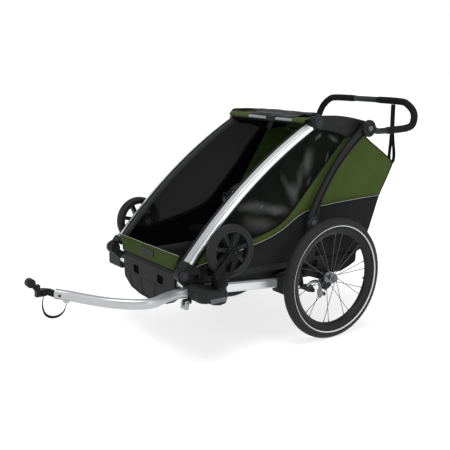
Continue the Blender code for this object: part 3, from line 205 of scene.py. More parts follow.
# Near-black sheets inside the cloth: partly the lining's own black, partly painted shade that darkens the
# closed-in inside. The same black stands for shade in the groove, openings, creases and socket below.
BLACK_LINING_AND_SHADE = cloth("black_lining_and_painted_shade", (0.0016, 0.0017, 0.0016), rough=0.95, sheen=0.0)
DARK = cloth("dark_cloth", (0.0130, 0.0132, 0.0138), pitch=0.0012, rough=0.8, sheen=0.10)
SEATING = cloth("seat_cloth", (0.0022, 0.0023, 0.0024), pitch=0.0014, rough=0.95, sheen=0.05)
PADDING = cloth("pad_cloth", (0.020, 0.021, 0.022), pitch=0.0020, rough=0.95, sheen=0.10,
                slot="grey_padded_fabric")
WEBBING = cloth("webbing", (0.012, 0.012, 0.013), pitch=0.0022, rough=0.75, sheen=0.1, strength=0.7)
# The rolled cover's strong light and dark streaks along its length are painted highlights and shade of its
# folds.
ROLLED_PAINTED_STREAKS = cloth("rolled_cover", (0.0275, 0.0292, 0.0302), pitch=0.0014, rough=0.5, sheen=0.1, shade=0.85,
               stretch=(0.45, 2.2, 2.2))
BINDING = cloth("black_binding", (0.006, 0.006, 0.0065), pitch=0.0013, rough=0.8, sheen=0.05)
PIPING = cloth("pale_piping", (0.24, 0.25, 0.24), pitch=0.0018, rough=0.6, sheen=0.1,
               slot="grey_padded_fabric")
PATCH = moulded("bare_patch", (0.0135, 0.0140, 0.0146), 0.5)
# A lighter grey for the middle stretch of the bar.
MIDDLE_GREY = moulded("handle_middle_lighter_grey", (0.034, 0.0352, 0.037), 0.42, slot="black_painted_tube")
BLACK = moulded("black_plastic", (0.0105, 0.0108, 0.0114), 0.42)
GREY_BLACK = moulded("dark_grey_plastic", (0.0125, 0.0129, 0.0136), 0.48)
BOSS = moulded("boss_plastic", (0.030, 0.031, 0.033), 0.38)
FORK = moulded("fork_plastic", (0.0014, 0.0015, 0.0017), 0.55)
DEEP = moulded("tub_plastic", (0.0235, 0.0240, 0.0248), 0.40)
BUMPER = moulded("bumper_plastic", (0.0032, 0.0034, 0.0037), 0.50)
SILL = moulded("sill_plastic", (0.0120, 0.0124, 0.0130), 0.46)
WHEEL_GREY = moulded("small_wheel_plastic", (0.020, 0.0208, 0.0212), 0.42)
BUTTON = moulded("grey_button", (0.10, 0.105, 0.112), 0.35, slot="grey_button_plastic")
PALE = moulded("light_grey_plastic", (0.33, 0.335, 0.345), 0.42)
PALE_STRIP = moulded("pale_strip", (0.26, 0.266, 0.272), 0.5, slot="light_grey_plastic")
REFLECTOR = moulded("reflector", (0.10, 0.106, 0.11), 0.25, 1800.0, 0.3, slot="light_grey_plastic")
GASKET = moulded("rubber_gasket", (0.007, 0.007, 0.0072), 0.62)
INNER_STRIP = moulded("inner_strip", (0.034, 0.0355, 0.035), 0.62)
SILVER = metal("silver_profile", (0.74, 0.755, 0.76), 0.36)
# A darker copy of the pillar's silver: painted shade on the front face, which gets less light than the side.
SILVER_FACE_SHADED = metal("silver_front_face_painted_shade", (0.64, 0.658, 0.664), 0.42)
SILVER_RAIL = metal("silver_rail", (0.66, 0.672, 0.68), 0.36, EVEN)
SILVER_ARM = metal("silver_arm", (0.45, 0.46, 0.468), 0.36, EVEN, 0.72)
STEEL = metal("turned_steel", (0.52, 0.53, 0.55), 0.25, FINE, slot="bright_steel")
SPOKE = metal("spoke_steel", (0.085, 0.088, 0.092), 0.30, FINE, slot="black_moulded_plastic")
DARK_STEEL = metal("hub_metal", (0.22, 0.225, 0.235), 0.32, FINE, slot="bright_steel")
TYRE = moulded("tyre_rubber", (0.0170, 0.0172, 0.0178), 0.62, 500.0, 0.2, slot="tyre_rubber")
RIM = moulded("black_rim", (0.012, 0.0122, 0.0128), 0.28, 1500.0, 0.04)
STRIPE = moulded("reflective_stripe", (0.50, 0.51, 0.51), 0.35, 2500.0, 0.2, slot="tyre_rubber")
GRIP = foam("grip_foam", "grip_foam", (0.0085, 0.0087, 0.0090))
# Painted reflections on the near window: patches where its colour is lightened, each (y, z, half length, half
# width, turn in degrees, level).
PAINTED_REFLECTIONS = (
    (-0.345, 0.568, 0.125, 0.040, -5, 0.48), (-0.235, 0.546, 0.085, 0.034, -16, 0.62),
    (-0.310, 0.500, 0.115, 0.036, -12, 0.42), (-0.156, 0.598, 0.060, 0.040, 100, 0.62),
    (-0.120, 0.640, 0.085, 0.026, 75, 0.38), (-0.190, 0.650, 0.075, 0.024, 110, 0.26),
    (-0.076, 0.712, 0.070, 0.038, 80, 0.62), (-0.024, 0.814, 0.028, 0.009, 40, 0.75),
    (0.060, 0.806, 0.036, 0.017, -15, 0.55), (0.024, 0.725, 0.040, 0.009, 65, 0.55),
    (-0.069, 0.639, 0.034, 0.009, 60, 0.40), (-0.315, 0.565, 0.016, 0.006, 50, 0.85),
)
NEAR_FILM_PAINTED_REFLECTIONS = film("side_window_left", (0.0012, 0.0022, 0.0008), (0.088, 0.090, 0.089), 0.28, 0.5, PAINTED_REFLECTIONS)
# The far window: the same film coloured lighter, painted light of the bright backdrop behind it, with a faint
# painted reflection from its ripple.
FAR_FILM_PAINTED_BACKLIGHT = film("side_window_right", (0.0178, 0.0181, 0.0178), (0.0220, 0.0224, 0.0220), 0.35, 0.2)


# Mesh helpers

BOX_FACES = ((0, 1, 2, 3), (4, 5, 6, 7), (0, 1, 5, 4), (1, 2, 6, 5), (2, 3, 7, 6), (3, 0, 4, 7))


def modifier(piece, name, kind, **values):
    added = piece.modifiers.new(name, kind)
    for key, value in values.items():
        setattr(added, key, value)


def mirrored(mesh, sign):
    return [(sign * v[0], v[1], v[2]) for v in mesh[0]], mesh[1]


def build(name, mesh, mat, body, sign=0, node="", slot="", smooth=40, wall=(), bevel=(), subdivide=0):
    """A piece from a mesh about the axle, on a body, in place of a node of the frame.

    wall is (thickness, offset), bevel (width, segments). With a sign the piece is one of a pair,
    and its name, node and paired body get the side's name.
    """
    if sign:
        mesh = mirrored(mesh, sign)
        name = f"{name}_{SIDES[sign]}"
        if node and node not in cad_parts:
            node = f"{node}_{SIDES[sign]}"
        if body in PAIRED_BODIES:
            body = f"{body}_{SIDES[sign]}"
    data = bpy.data.meshes.new(name)
    data.from_pydata([tuple(Vector(v) + SHIFT) for v in mesh[0]], [], mesh[1])
    piece = bpy.data.objects.new(name, data)
    bpy.context.scene.collection.objects.link(piece)
    data.materials.append(mat)
    shape = bmesh.new()
    shape.from_mesh(data)
    bmesh.ops.remove_doubles(shape, verts=shape.verts, dist=1e-6)
    bmesh.ops.recalc_face_normals(shape, faces=shape.faces)
    shape.to_mesh(data)
    shape.free()
    data.shade_smooth()
    data.set_sharp_from_angle(angle=radians(smooth))
    if wall:
        modifier(piece, "wall", "SOLIDIFY", thickness=wall[0], offset=wall[1])
    if bevel:
        modifier(piece, "edges", "BEVEL", width=bevel[0], segments=bevel[1], limit_method="ANGLE",
                 angle_limit=radians(30), harden_normals=True)
    if subdivide:
        modifier(piece, "smooth", "SUBSURF", levels=subdivide, render_levels=subdivide)
    if node:
        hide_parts(node)
    if body:
        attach(piece, body)
    return piece


def for_both_sides(make):
    """Makes the left and then the right one of a pair."""
    make(1)
    make(-1)


def merge(*parts):
    verts, faces = [], []
    for part_verts, part_faces in parts:
        base = len(verts)
        verts += list(part_verts)
        faces += [tuple(i + base for i in face) for face in part_faces]
    return verts, faces


def rings_mesh(rings, closed=False):
    """A skin over rings of equal count: closed joins the last to the first, and else the ends are capped."""
    count = len(rings[0])
    verts = [tuple(p) for ring in rings for p in ring]
    faces = []
    for k in range(len(rings) if closed else len(rings) - 1):
        a = k * count
        b = (k + 1) % len(rings) * count
        faces += [(a + i, a + (i + 1) % count, b + (i + 1) % count, b + i) for i in range(count)]
    if not closed:
        faces += [tuple(range(count)), tuple(range(len(verts) - count, len(verts)))]
    return verts, faces


def grid_mesh(rows):
    count = len(rows[0])
    verts = [tuple(p) for row in rows for p in row]
    faces = [(a, a + 1, a + count + 1, a + count)
             for k in range(len(rows) - 1) for a in range(k * count, k * count + count - 1)]
    return verts, faces


def polar(x, radius, angle, centre):
    return x, centre[0] + radius * cos(angle), centre[1] + radius * sin(angle)


def turned(profile, centre, steps=48, closed=False):
    """A (radius, x) profile turned about the X axis through a (y, z) centre."""
    rings = [[polar(x, r, tau * k / steps, centre) for k in range(steps)] for r, x in profile]
    return rings_mesh(rings, closed)


def two_sided(half, x):
    """A (radius, x) profile from its outer half, mirrored about x."""
    return [(r, x + out) for r, out in half] + [(r, x - out) for r, out in reversed(half)]


def tangent_at(path, i):
    return (path[min(i + 1, len(path) - 1)] - path[max(i - 1, 0)]).normalized()


def smooth_path(points, spans=6):
    points = [Vector(p) for p in points]
    ends = [2 * points[0] - points[1], *points, 2 * points[-1] - points[-2]]
    path = []
    for i in range(len(points) - 1):
        a, b, c, d = ends[i:i + 4]
        for step in range(spans):
            t = step / spans
            path.append(0.5 * (2 * b + (c - a) * t + (2 * a - 5 * b + 4 * c - d) * t * t
                               + (3 * b - a - 3 * c + d) * t ** 3))
    path.append(points[-1])
    return path


def smooth2(points, spans=6):
    return [(p.x, p.y) for p in smooth_path([(a, b, 0) for a, b in points], spans)]


def tube(path, radius=1.0, sides=16, section=None, up=(0, 0, 1)):
    """A tube along a path; the radius, which may depend on the path's share, scales its section."""
    path = [Vector(p) for p in path]
    section = section or [(cos(tau * k / sides), sin(tau * k / sides)) for k in range(sides)]
    rings = []
    for i, place in enumerate(path):
        tangent = tangent_at(path, i)
        across = tangent.cross(Vector(up))
        if across.length < 1e-4:
            across = tangent.cross(Vector((1, 0, 0)))
        across.normalize()
        if rings and across.dot(last) < 0:
            across = -across
        last = across
        lift = across.cross(tangent).normalized()
        r = radius(i / (len(path) - 1)) if callable(radius) else radius
        rings.append([place + across * (a * r) + lift * (b * r) for a, b in section])
    return rings_mesh(rings)


def rounded_section(half_width, half_height, corner, steps=1):
    points = []
    for cx, cy, start in ((1, 1, 0), (-1, 1, 90), (-1, -1, 180), (1, -1, 270)):
        for k in range(steps + 1):
            a = radians(start + 90 * k / steps)
            points.append((cx * (half_width - corner) + corner * cos(a),
                           cy * (half_height - corner) + corner * sin(a)))
    return points


def band(path, half_width, half_height, corner, up=(0, 0, 1), steps=1, radius=1.0):
    """A flat tube with rounded edges."""
    return tube(path, radius, section=rounded_section(half_width, half_height, corner, steps), up=up)


def slab(outline, low, high):
    """A (y, z) outline extruded along X."""
    count = len(outline)
    verts = [(low, y, z) for y, z in outline] + [(high, y, z) for y, z in outline]
    faces = [tuple(range(count)), tuple(range(2 * count - 1, count - 1, -1))]
    faces += [(i, i + count, (i + 1) % count + count, (i + 1) % count) for i in range(count)]
    return verts, faces


def box(low, high):
    (a, b, c), (d, e, f) = low, high
    return [(x, y, z) for z in (c, f) for x, y in ((a, b), (d, b), (d, e), (a, e))], BOX_FACES


def arc(centre, radius, start, end, count):
    return [polar(0, radius, radians(start + (end - start) * k / (count - 1)), centre)[1:]
            for k in range(count)]


def at_x(x, points):
    return [(x, y, z) for y, z in points]


# Driving values shared with the part

AXLE = (0.0, 0.250)
TRACK = 0.345
PILLAR_CENTRE = (0.900, -0.921)
PILLAR_R = 2.037
SHOULDER_JOINT = (-0.038, 0.876)
HANDLE_JOINT = (0.208, 0.843)
REAR_JOINT = (-0.072, 0.480)
PILLAR_FOOT = (-0.674, 0.354)
SMALL_HUB = (-0.510, 0.4375)
SMALL_X = 0.342
HITCH = Vector((0.072, -1.125, 0.322))


def pillar_point(angle, radius):
    return polar(0, radius, radians(angle), PILLAR_CENTRE)[1:]


def pillar_sweep(section, low, high, steps=40):
    """Sweeps an (x, radius offset) section along the pillar's arc."""
    angles = [low + (high - low) * k / steps for k in range(steps + 1)]
    return rings_mesh([[(x, *pillar_point(angle, PILLAR_R + offset)) for x, offset in section]
                       for angle in angles])


# Silver front pillars with their gaskets, and the bar between their heads

PROFILE = ((0.2390, -0.0030), (0.2394, -0.0014), (0.2404, -0.0003), (0.2420, 0.0), (0.2440, 0.0),
           (0.2456, -0.0003), (0.2655, -0.0060), (0.2662, -0.0066), (0.2665, -0.0078), (0.2672, -0.0083),
           (0.2681, -0.0081), (0.2688, -0.0071), (0.2700, -0.0074), (0.2765, -0.0096), (0.2786, -0.0108),
           (0.2798, -0.0126), (0.2800, -0.0145), (0.2800, -0.0200), (0.2792, -0.0215), (0.2775, -0.0220),
           (0.2410, -0.0220), (0.2392, -0.0212))
STRIP_SECTION = ((0.2262, -0.0190), (0.2262, -0.0040), (0.2272, -0.0024), (0.2290, -0.0016),
                 (0.2384, -0.0012), (0.2387, -0.0030), (0.2387, -0.0190))
EDGE_GASKET = ((0.2368, -0.0008), (0.2370, 0.0012), (0.2386, 0.0026), (0.2432, 0.0024), (0.2448, 0.0010),
               (0.2448, -0.0003), (0.2389, -0.0012))
SHADED_FACE_SECTION = ((0.2462, -0.0004), (0.2466, 0.0000), (0.2652, -0.0054), (0.2650, -0.0062))
HEAD_SECTION = ((0.2378, -0.0240), (0.2378, 0.0020), (0.2400, 0.0042), (0.2470, 0.0042), (0.2790, -0.0050),
                (0.2816, -0.0080), (0.2816, -0.0240))
# A black strip laid in the groove on the pillar's face: painted shade in the groove.
GROOVE_SHADE_STRIP = ((0.2664, -0.0074), (0.2668, -0.0069), (0.2684, -0.0073), (0.2688, -0.0078), (0.2676, -0.0086))
REAR_GASKET = ((0.2640, -0.0285), (0.2640, -0.0222), (0.2794, -0.0221), (0.2804, -0.0236), (0.2804, -0.0275),
               (0.2790, -0.0285))


@for_both_sides
def make_pillar(sign):
    build("silver_pillar", pillar_sweep(PROFILE, 118.50, 140.20), SILVER, "pillar_frame", sign,
          "front_pillar", smooth=30)
    # The front face strip in the darker silver is painted shade.
    build("pillar_face_painted_shade", pillar_sweep(SHADED_FACE_SECTION, 118.51, 140.19), SILVER_FACE_SHADED, "pillar_frame", sign)
    build("pillar_head", pillar_sweep(HEAD_SECTION, 117.55, 118.53, 4), BLACK, "pillar_frame", sign,
          bevel=(0.0020, 3))
    build("pillar_inner_strip", pillar_sweep(STRIP_SECTION, 118.9, 140.0), INNER_STRIP, "pillar_frame", sign)
    lines = merge(pillar_sweep(EDGE_GASKET, 118.8, 140.15), pillar_sweep(REAR_GASKET, 119.2, 139.8),
                  pillar_sweep(GROOVE_SHADE_STRIP, 118.8, 140.15))
    build("pillar_gaskets_and_groove_shade", lines, GASKET, "pillar_frame", sign)


def make_roof_bar():
    """The bar between the pillars' heads, with a flange at each end and the lugs of the shoulder joints."""
    centre = (-0.0720, 0.8760)
    parts = [tube([(x, *centre) for x in (-0.2390, -0.2380, 0.2380, 0.2390)], 0.0120, 24)]
    lug = (arc(SHOULDER_JOINT, 0.0240, -75, 120, 14)
           + [pillar_point(118.54, PILLAR_R - 0.0010), pillar_point(118.54, PILLAR_R - 0.0210)])
    flange = turned([(0.0140, 0.2290), (0.0160, 0.2310), (0.0160, 0.2370), (0.0150, 0.2380)], centre, 36)
    for sign in SIDES:
        parts += [mirrored(flange, sign), mirrored(slab(lug, 0.2440, 0.2610), sign)]
    build("roof_bar_tube", merge(*parts), BLACK, "pillar_frame", node="roof_front_bar", smooth=35)


make_roof_bar()


# Wheels

def tyre_profile():
    points = []
    for k in range(25):
        a = radians(-118 + 236 * k / 24)
        crown = abs(a) < pi / 2
        wide = sin(abs(a)) if crown else 0.55 + 0.45 * sin(abs(a))
        points.append((0.2275 + (0.0225 if crown else 0.0165) * cos(a), TRACK + copysign(0.0235 * wide, a)))
    return points + [(0.2105, TRACK + 0.0110), (0.2105, TRACK - 0.0110)]


def tread_blocks():
    """Three rows of low blocks, the outer two slanted."""
    step = tau / 96
    half = 0.34 * step
    blocks = []
    for row, (x0, x1, slant) in enumerate(((-0.0165, -0.0075, 0.35), (-0.0060, 0.0060, 0.0),
                                           (0.0075, 0.0165, 0.35))):
        for k in range(96):
            a = step * (k + 0.5 * (row % 2))
            verts = [polar(TRACK + x, 0.2275 + 0.0222 * sqrt(1 - (x / 0.0245) ** 2) + rise, a + turn * half,
                           AXLE) for rise in (-0.003, 0.0006)
                     for x, turn in ((x0, -1), (x0, 1), (x1, slant + 1), (x1, slant - 1))]
            blocks.append((verts, BOX_FACES))
    return merge(*blocks)


def flange_teeth():
    teeth = []
    for k in range(20):
        for r0, r1, x0, x1 in ((0.0186, 0.0212, 0.3496, 0.3526), (0.0206, 0.0232, 0.3200, 0.3234)):
            verts = [polar(x, r, tau * k / 20 + turn, AXLE) for x in (x0, x1)
                     for r, turn in ((r0, -0.075), (r0, 0.075), (r1, 0.060), (r1, -0.060))]
            teeth.append((verts, BOX_FACES))
    return merge(*teeth)


def laced_spokes():
    """Crossed spokes between two flanges and the rim, and the sleeves at their ends."""
    spokes, sleeves = [], []
    for pair in range(10):
        middle = tau * pair / 10 + radians(9)
        for flange, lean, hub_radius in ((0.3215, 1, 0.0190), (0.3510, -1, 0.0172)):
            rim_end = Vector(polar(TRACK - lean * 0.002, 0.1860, middle + lean * radians(5), AXLE))
            hub_end = Vector(polar(flange, hub_radius, middle - lean * radians(32), AXLE))
            head = Vector((0.002, 0, 0))
            spokes.append(tube([hub_end, rim_end], 0.0013, 6))
            sleeves.append(tube([rim_end, rim_end + (hub_end - rim_end).normalized() * 0.011], 0.0021, 6))
            sleeves.append(tube([hub_end - head, hub_end + head], 0.0022, 6))
    return merge(*spokes), merge(*sleeves)


@for_both_sides
def make_wheel(sign):
    build("tyre", turned(tyre_profile(), AXLE, 128, True), TYRE, "wheel", sign, "rear_tyre", smooth=50)
    build("tread", tread_blocks(), TYRE, "wheel", sign, smooth=30)
    band_section = ((0.2172, 0.0209), (0.2216, 0.0237), (0.2216, 0.0228), (0.2172, 0.0200))
    stripes = [turned([(r, TRACK + s * x) for r, x in band_section], AXLE, 128, True) for s in SIDES]
    build("stripe", merge(*stripes), STRIPE, "wheel", sign, smooth=30)
    rim = [(0.2060, 0.0090), (0.2118, 0.0138), (0.2122, 0.0150), (0.2100, 0.0152), (0.2020, 0.0142),
           (0.1940, 0.0112), (0.1862, 0.0068), (0.1846, 0.0040)]
    build("rim", turned(two_sided(rim, TRACK), AXLE, 128, True), RIM, "wheel", sign, "rear_wheel", smooth=35)
    hub = [(0.0070, 0.3190), (0.0205, 0.3190), (0.0216, 0.3198), (0.0216, 0.3236), (0.0205, 0.3245),
           (0.0150, 0.3252), (0.0112, 0.3280), (0.0104, 0.3320), (0.0104, 0.3420), (0.0120, 0.3470),
           (0.0186, 0.3486), (0.0196, 0.3494), (0.0196, 0.3528), (0.0186, 0.3536), (0.0160, 0.3540)]
    build("hub", turned(hub, AXLE, 64), DARK_STEEL, "wheel", sign, slot="black_moulded_plastic")
    build("flange_teeth", flange_teeth(), STEEL, "wheel", sign, slot="black_moulded_plastic", smooth=30)
    cap = [(0.0118, 0.3534), (0.0152, 0.3540), (0.0156, 0.3552), (0.0146, 0.3606), (0.0136, 0.3619),
           (0.0118, 0.3619)]
    build("hub_cap", turned(cap, AXLE), BUTTON, "wheel", sign)
    spokes, sleeves = laced_spokes()
    build("spokes", spokes, SPOKE, "wheel", sign)
    build("nipples", sleeves, SPOKE, "wheel", sign)
    valve = tube([polar(TRACK, r, radians(-9), AXLE) for r in (0.187, 0.180, 0.179, 0.174)],
                 lambda t: 0.0028 if t < 0.5 else 0.0036, 10)
    build("valve", valve, GASKET, "wheel", sign, slot="black_rubber")


# Small stowed wheels

@for_both_sides
def make_small_wheel(sign):
    y, z = SMALL_HUB
    angles = [radians(-90 + 180 * k / 16) for k in range(17)]
    outline = [(0.0850 + 0.0150 * max(cos(a), 0.0) ** 0.7, SMALL_X + 0.0195 * sin(a)) for a in angles]
    outline += [(0.0786, SMALL_X + 0.0160), (0.0786, SMALL_X - 0.0160)]
    build("small_tyre", turned(outline, SMALL_HUB, 96, True), TYRE, "small_wheel", sign, "front_tyre")
    rim = [(0.0788, 0.0165), (0.0776, 0.0172), (0.0730, 0.0165), (0.0718, 0.0145)]
    hub = [(0.0046, 0.0175), (0.0150, 0.0170), (0.0170, 0.0150)]
    parts = [turned(two_sided(rim, SMALL_X), SMALL_HUB, 96, True),
             turned(two_sided(hub, SMALL_X), SMALL_HUB, 40)]
    for k in range(7):
        a = tau * k / 7 + radians(12)
        rings = []
        for r, w in ((0.013, 0.0085), (0.040, 0.0066), (0.0725, 0.0078)):
            face = [(-w, 0.0125), (-w + 0.0022, 0.0125), (-w + 0.0030, 0.0085), (w - 0.0030, 0.0085),
                    (w - 0.0022, 0.0125), (w, 0.0125)]
            rings.append([(SMALL_X + v, y + r * cos(a) - u * sin(a), z + r * sin(a) + u * cos(a))
                          for u, v in face + [(u, -v) for u, v in reversed(face)]])
        parts.append(rings_mesh(rings))
    build("small_rim", merge(*parts), WHEEL_GREY, "small_wheel", sign, "front_wheel", smooth=30)


# Handlebar with grips and hubs

half_bar = smooth_path((
    (0.3140, 0.236, 0.838), (0.3075, 0.262, 0.829), (0.3020, 0.300, 0.827), (0.3000, 0.376, 0.828),
    (0.3000, 0.445, 0.831), (0.3000, 0.480, 0.842), (0.2975, 0.495, 0.872), (0.2830, 0.502, 0.900),
    (0.2520, 0.504, 0.924), (0.2130, 0.505, 0.936), (0.0880, 0.505, 0.938), (0.0, 0.505, 0.938)))
whole_bar = half_bar + [Vector((-p.x, p.y, p.z)) for p in reversed(half_bar[:-1])]
build("handle_tube", tube(whole_bar, 0.0125, 20), BLACK, "handlebar", node="handlebar",
      slot="black_painted_tube")
middle = tube([(x, 0.505, 0.938) for x in (-0.072, -0.071, 0.071, 0.072)],
              lambda t: 0.0129 if 0.1 < t < 0.9 else 0.0126, 28)
build("handle_middle", middle, MIDDLE_GREY, "handlebar")


@for_both_sides
def make_handle_side(sign):
    first = next(i for i, p in enumerate(half_bar) if p.y > 0.316)
    last = next(i for i, p in enumerate(half_bar) if p.x < 0.075)
    grip = tube(half_bar[first:last + 1], lambda t: 0.0152 if 0.004 < t < 0.996 else 0.0138, 24)
    build("grip_sleeve", grip, GRIP, "handlebar", sign, "grip")
    hub = [(0.0120, 0.3088), (0.0335, 0.3088), (0.0350, 0.3100), (0.0350, 0.3180), (0.0335, 0.3204),
           (0.0300, 0.3210), (0.0240, 0.3206), (0.0225, 0.3190), (0.0180, 0.3188), (0.0165, 0.3206),
           (0.0125, 0.3208), (0.0120, 0.3180)]
    build("handle_hub", turned(hub, HANDLE_JOINT, 64), BLACK, "handlebar", sign)
    root = smooth_path([(0.3145, 0.218, 0.840), (0.3140, 0.240, 0.836), (0.3085, 0.262, 0.829),
                        (0.3040, 0.285, 0.8275), (0.3020, 0.302, 0.8270)], 5)
    build("handle_root", tube(root, lambda t: 0.0115 if t > 0.2 else 0.0060 + 0.0275 * t, 20), BLACK,
          "handlebar", sign)


# Wrist strap and safety strap, along the part's routes

WRIST_ROUTE = at_x(0.165, (
    (0.5010, 0.9215), (0.5005, 0.880), (0.5005, 0.830), (0.5000, 0.790), (0.4980, 0.750), (0.4940, 0.712),
    (0.4930, 0.690), (0.4970, 0.669), (0.5080, 0.661), (0.5190, 0.669), (0.5230, 0.690), (0.5210, 0.720),
    (0.5140, 0.760), (0.5095, 0.800), (0.5090, 0.840), (0.5090, 0.880), (0.5090, 0.9215)))
SAFETY_ROUTE = (
    (0.1100, -1.0570, 0.2800), (0.1085, -1.0600, 0.2620), (0.1040, -1.0680, 0.2460),
    (0.0970, -1.0800, 0.2340), (0.0890, -1.0950, 0.2290), (0.0820, -1.1100, 0.2310),
    (0.0770, -1.1220, 0.2400), (0.0745, -1.1290, 0.2560), (0.0735, -1.1310, 0.2740),
    (0.0730, -1.1290, 0.2920), (0.0725, -1.1250, 0.3070))
WEBBING_EDGE = ((-1, -0.4), (-0.9, -1), (-0.5, -0.86), (0, -0.8), (0.5, -0.86), (0.9, -1), (1, -0.4))


def strap(name, node, route, across, width, thick, body):
    """Flat webbing with rolled edges along a route."""
    path = smooth_path(route)
    across = Vector(across).normalized()
    section = WEBBING_EDGE + tuple((-a, -b) for a, b in WEBBING_EDGE)
    rings = []
    for i, place in enumerate(path):
        normal = tangent_at(path, i).cross(across).normalized()
        rings.append([place + across * (a * width / 2) + normal * (b * thick / 2) for a, b in section])
    piece = build(name, rings_mesh(rings), WEBBING, body, node=node)


strap("wrist_webbing", "wrist_strap", WRIST_ROUTE, (1, 0, 0), 0.018, 0.0022, "handlebar")
strap("safety_webbing", "safety_strap", SAFETY_ROUTE, (0.85, -0.45, 0), 0.025, 0.0025, "chassis")


# Cloth: outlines filled with small triangles, crowned and wrinkled

CLOTH_SMOOTH = 80
CLOTH_WALL = 0.0016


def edges_of(outline):
    return [(Vector(a), Vector(b)) for a, b in zip(outline, outline[1:] + outline[:1])]


def edge_distance(point, outline):
    best = 1e9
    for a, b in edges_of(outline):
        edge = b - a
        t = min(max((point - a).dot(edge) / max(edge.length_squared, 1e-12), 0), 1)
        best = min(best, (a + edge * t - point).length)
    return best


def patch_mesh(outline, cell, x, crown=0.0, wrinkle=0.0, seed=0.0):
    """A (y, z) outline at x, which swells outward from its edges by the crown and the wrinkles."""
    border = []
    for a, b in edges_of(outline):
        steps = max(int((b - a).length / cell + 0.5), 1)
        border += [a.lerp(b, k / steps) for k in range(steps)]
    low = Vector([min(p[k] for p in border) for k in (0, 1)])
    high = Vector([max(p[k] for p in border) for k in (0, 1)])
    points = list(border)
    for j in range(int((high.y - low.y) / (cell * 0.87)) + 1):
        for i in range(int((high.x - low.x) / cell) + 2):
            p = Vector((low.x + (i + 0.5 * (j % 2)) * cell, low.y + j * cell * 0.87))
            if edge_distance(p, outline) > 0.55 * cell:
                points.append(p)
    edges = [(i, (i + 1) % len(border)) for i in range(len(border))]
    flat, _, faces, *_ = geometry.delaunay_2d_cdt(points, edges, [], 1, 1e-6)
    verts = []
    for p in flat:
        swell = 1 - exp(-edge_distance(p, outline) / 0.03)
        fold = (noise.noise(Vector((p.x * 14 + seed, p.y * 14, seed)))
                + 0.5 * noise.noise(Vector((p.x * 34, p.y * 34, seed))))
        verts.append((x + crown * swell + wrinkle * fold * swell, p.x, p.y))
    return verts, [tuple(f) for f in faces]


def folding(name, mesh, mat, sign=0, **more):
    """A piece on the chassis, with a mesh of its own."""
    piece = build(name, mesh, mat, "chassis", sign, **more)
    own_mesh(piece)
    return piece


def panel(name, outline, cell, x, crown, wrinkle, seed, mat, sign, node=""):
    """A side cloth with a thickness."""
    mesh = patch_mesh(outline, cell, x, crown, wrinkle, seed)
    folding(name, mesh, mat, sign, node=node, smooth=CLOTH_SMOOTH, wall=(CLOTH_WALL, -1))


def lining(name, outline, cell, x, mat, sign):
    folding(name, patch_mesh(outline, cell, x), mat, sign, smooth=CLOTH_SMOOTH)


# Side panels: window film, bindings, green cloth, pale piping, dark lower cloth and a plastic ledge

PANEL_X = 0.2668
PANEL_PIPING = smooth2([(-0.612, 0.3765), (-0.500, 0.3960), (-0.400, 0.4125), (-0.325, 0.4270),
                        (-0.267, 0.4415), (-0.212, 0.4610), (-0.175, 0.4800), (-0.138, 0.5020),
                        (-0.0925, 0.5215), (-0.064, 0.5267)], 3)
WINDOW_EDGE = smooth2([(-0.568, 0.4300), (-0.540, 0.4180), (-0.480, 0.4235), (-0.355, 0.4475),
                       (-0.291, 0.4622), (-0.244, 0.4766), (-0.193, 0.5026), (-0.1485, 0.5417),
                       (-0.085, 0.6061), (-0.0325, 0.6605), (0.0286, 0.7238), (0.088, 0.7825),
                       (0.114, 0.8075)], 3)
WINDOW_TOP = [(0.086, 0.8235), (0.020, 0.8415), (-0.030, 0.8485)]


def pillar_edge(low, high, count, inset=0.0285):
    """Points up the back of the pillar, from its foot."""
    return [pillar_point(low + (high - low) * k / (count - 1), PILLAR_R - inset) for k in range(count)]


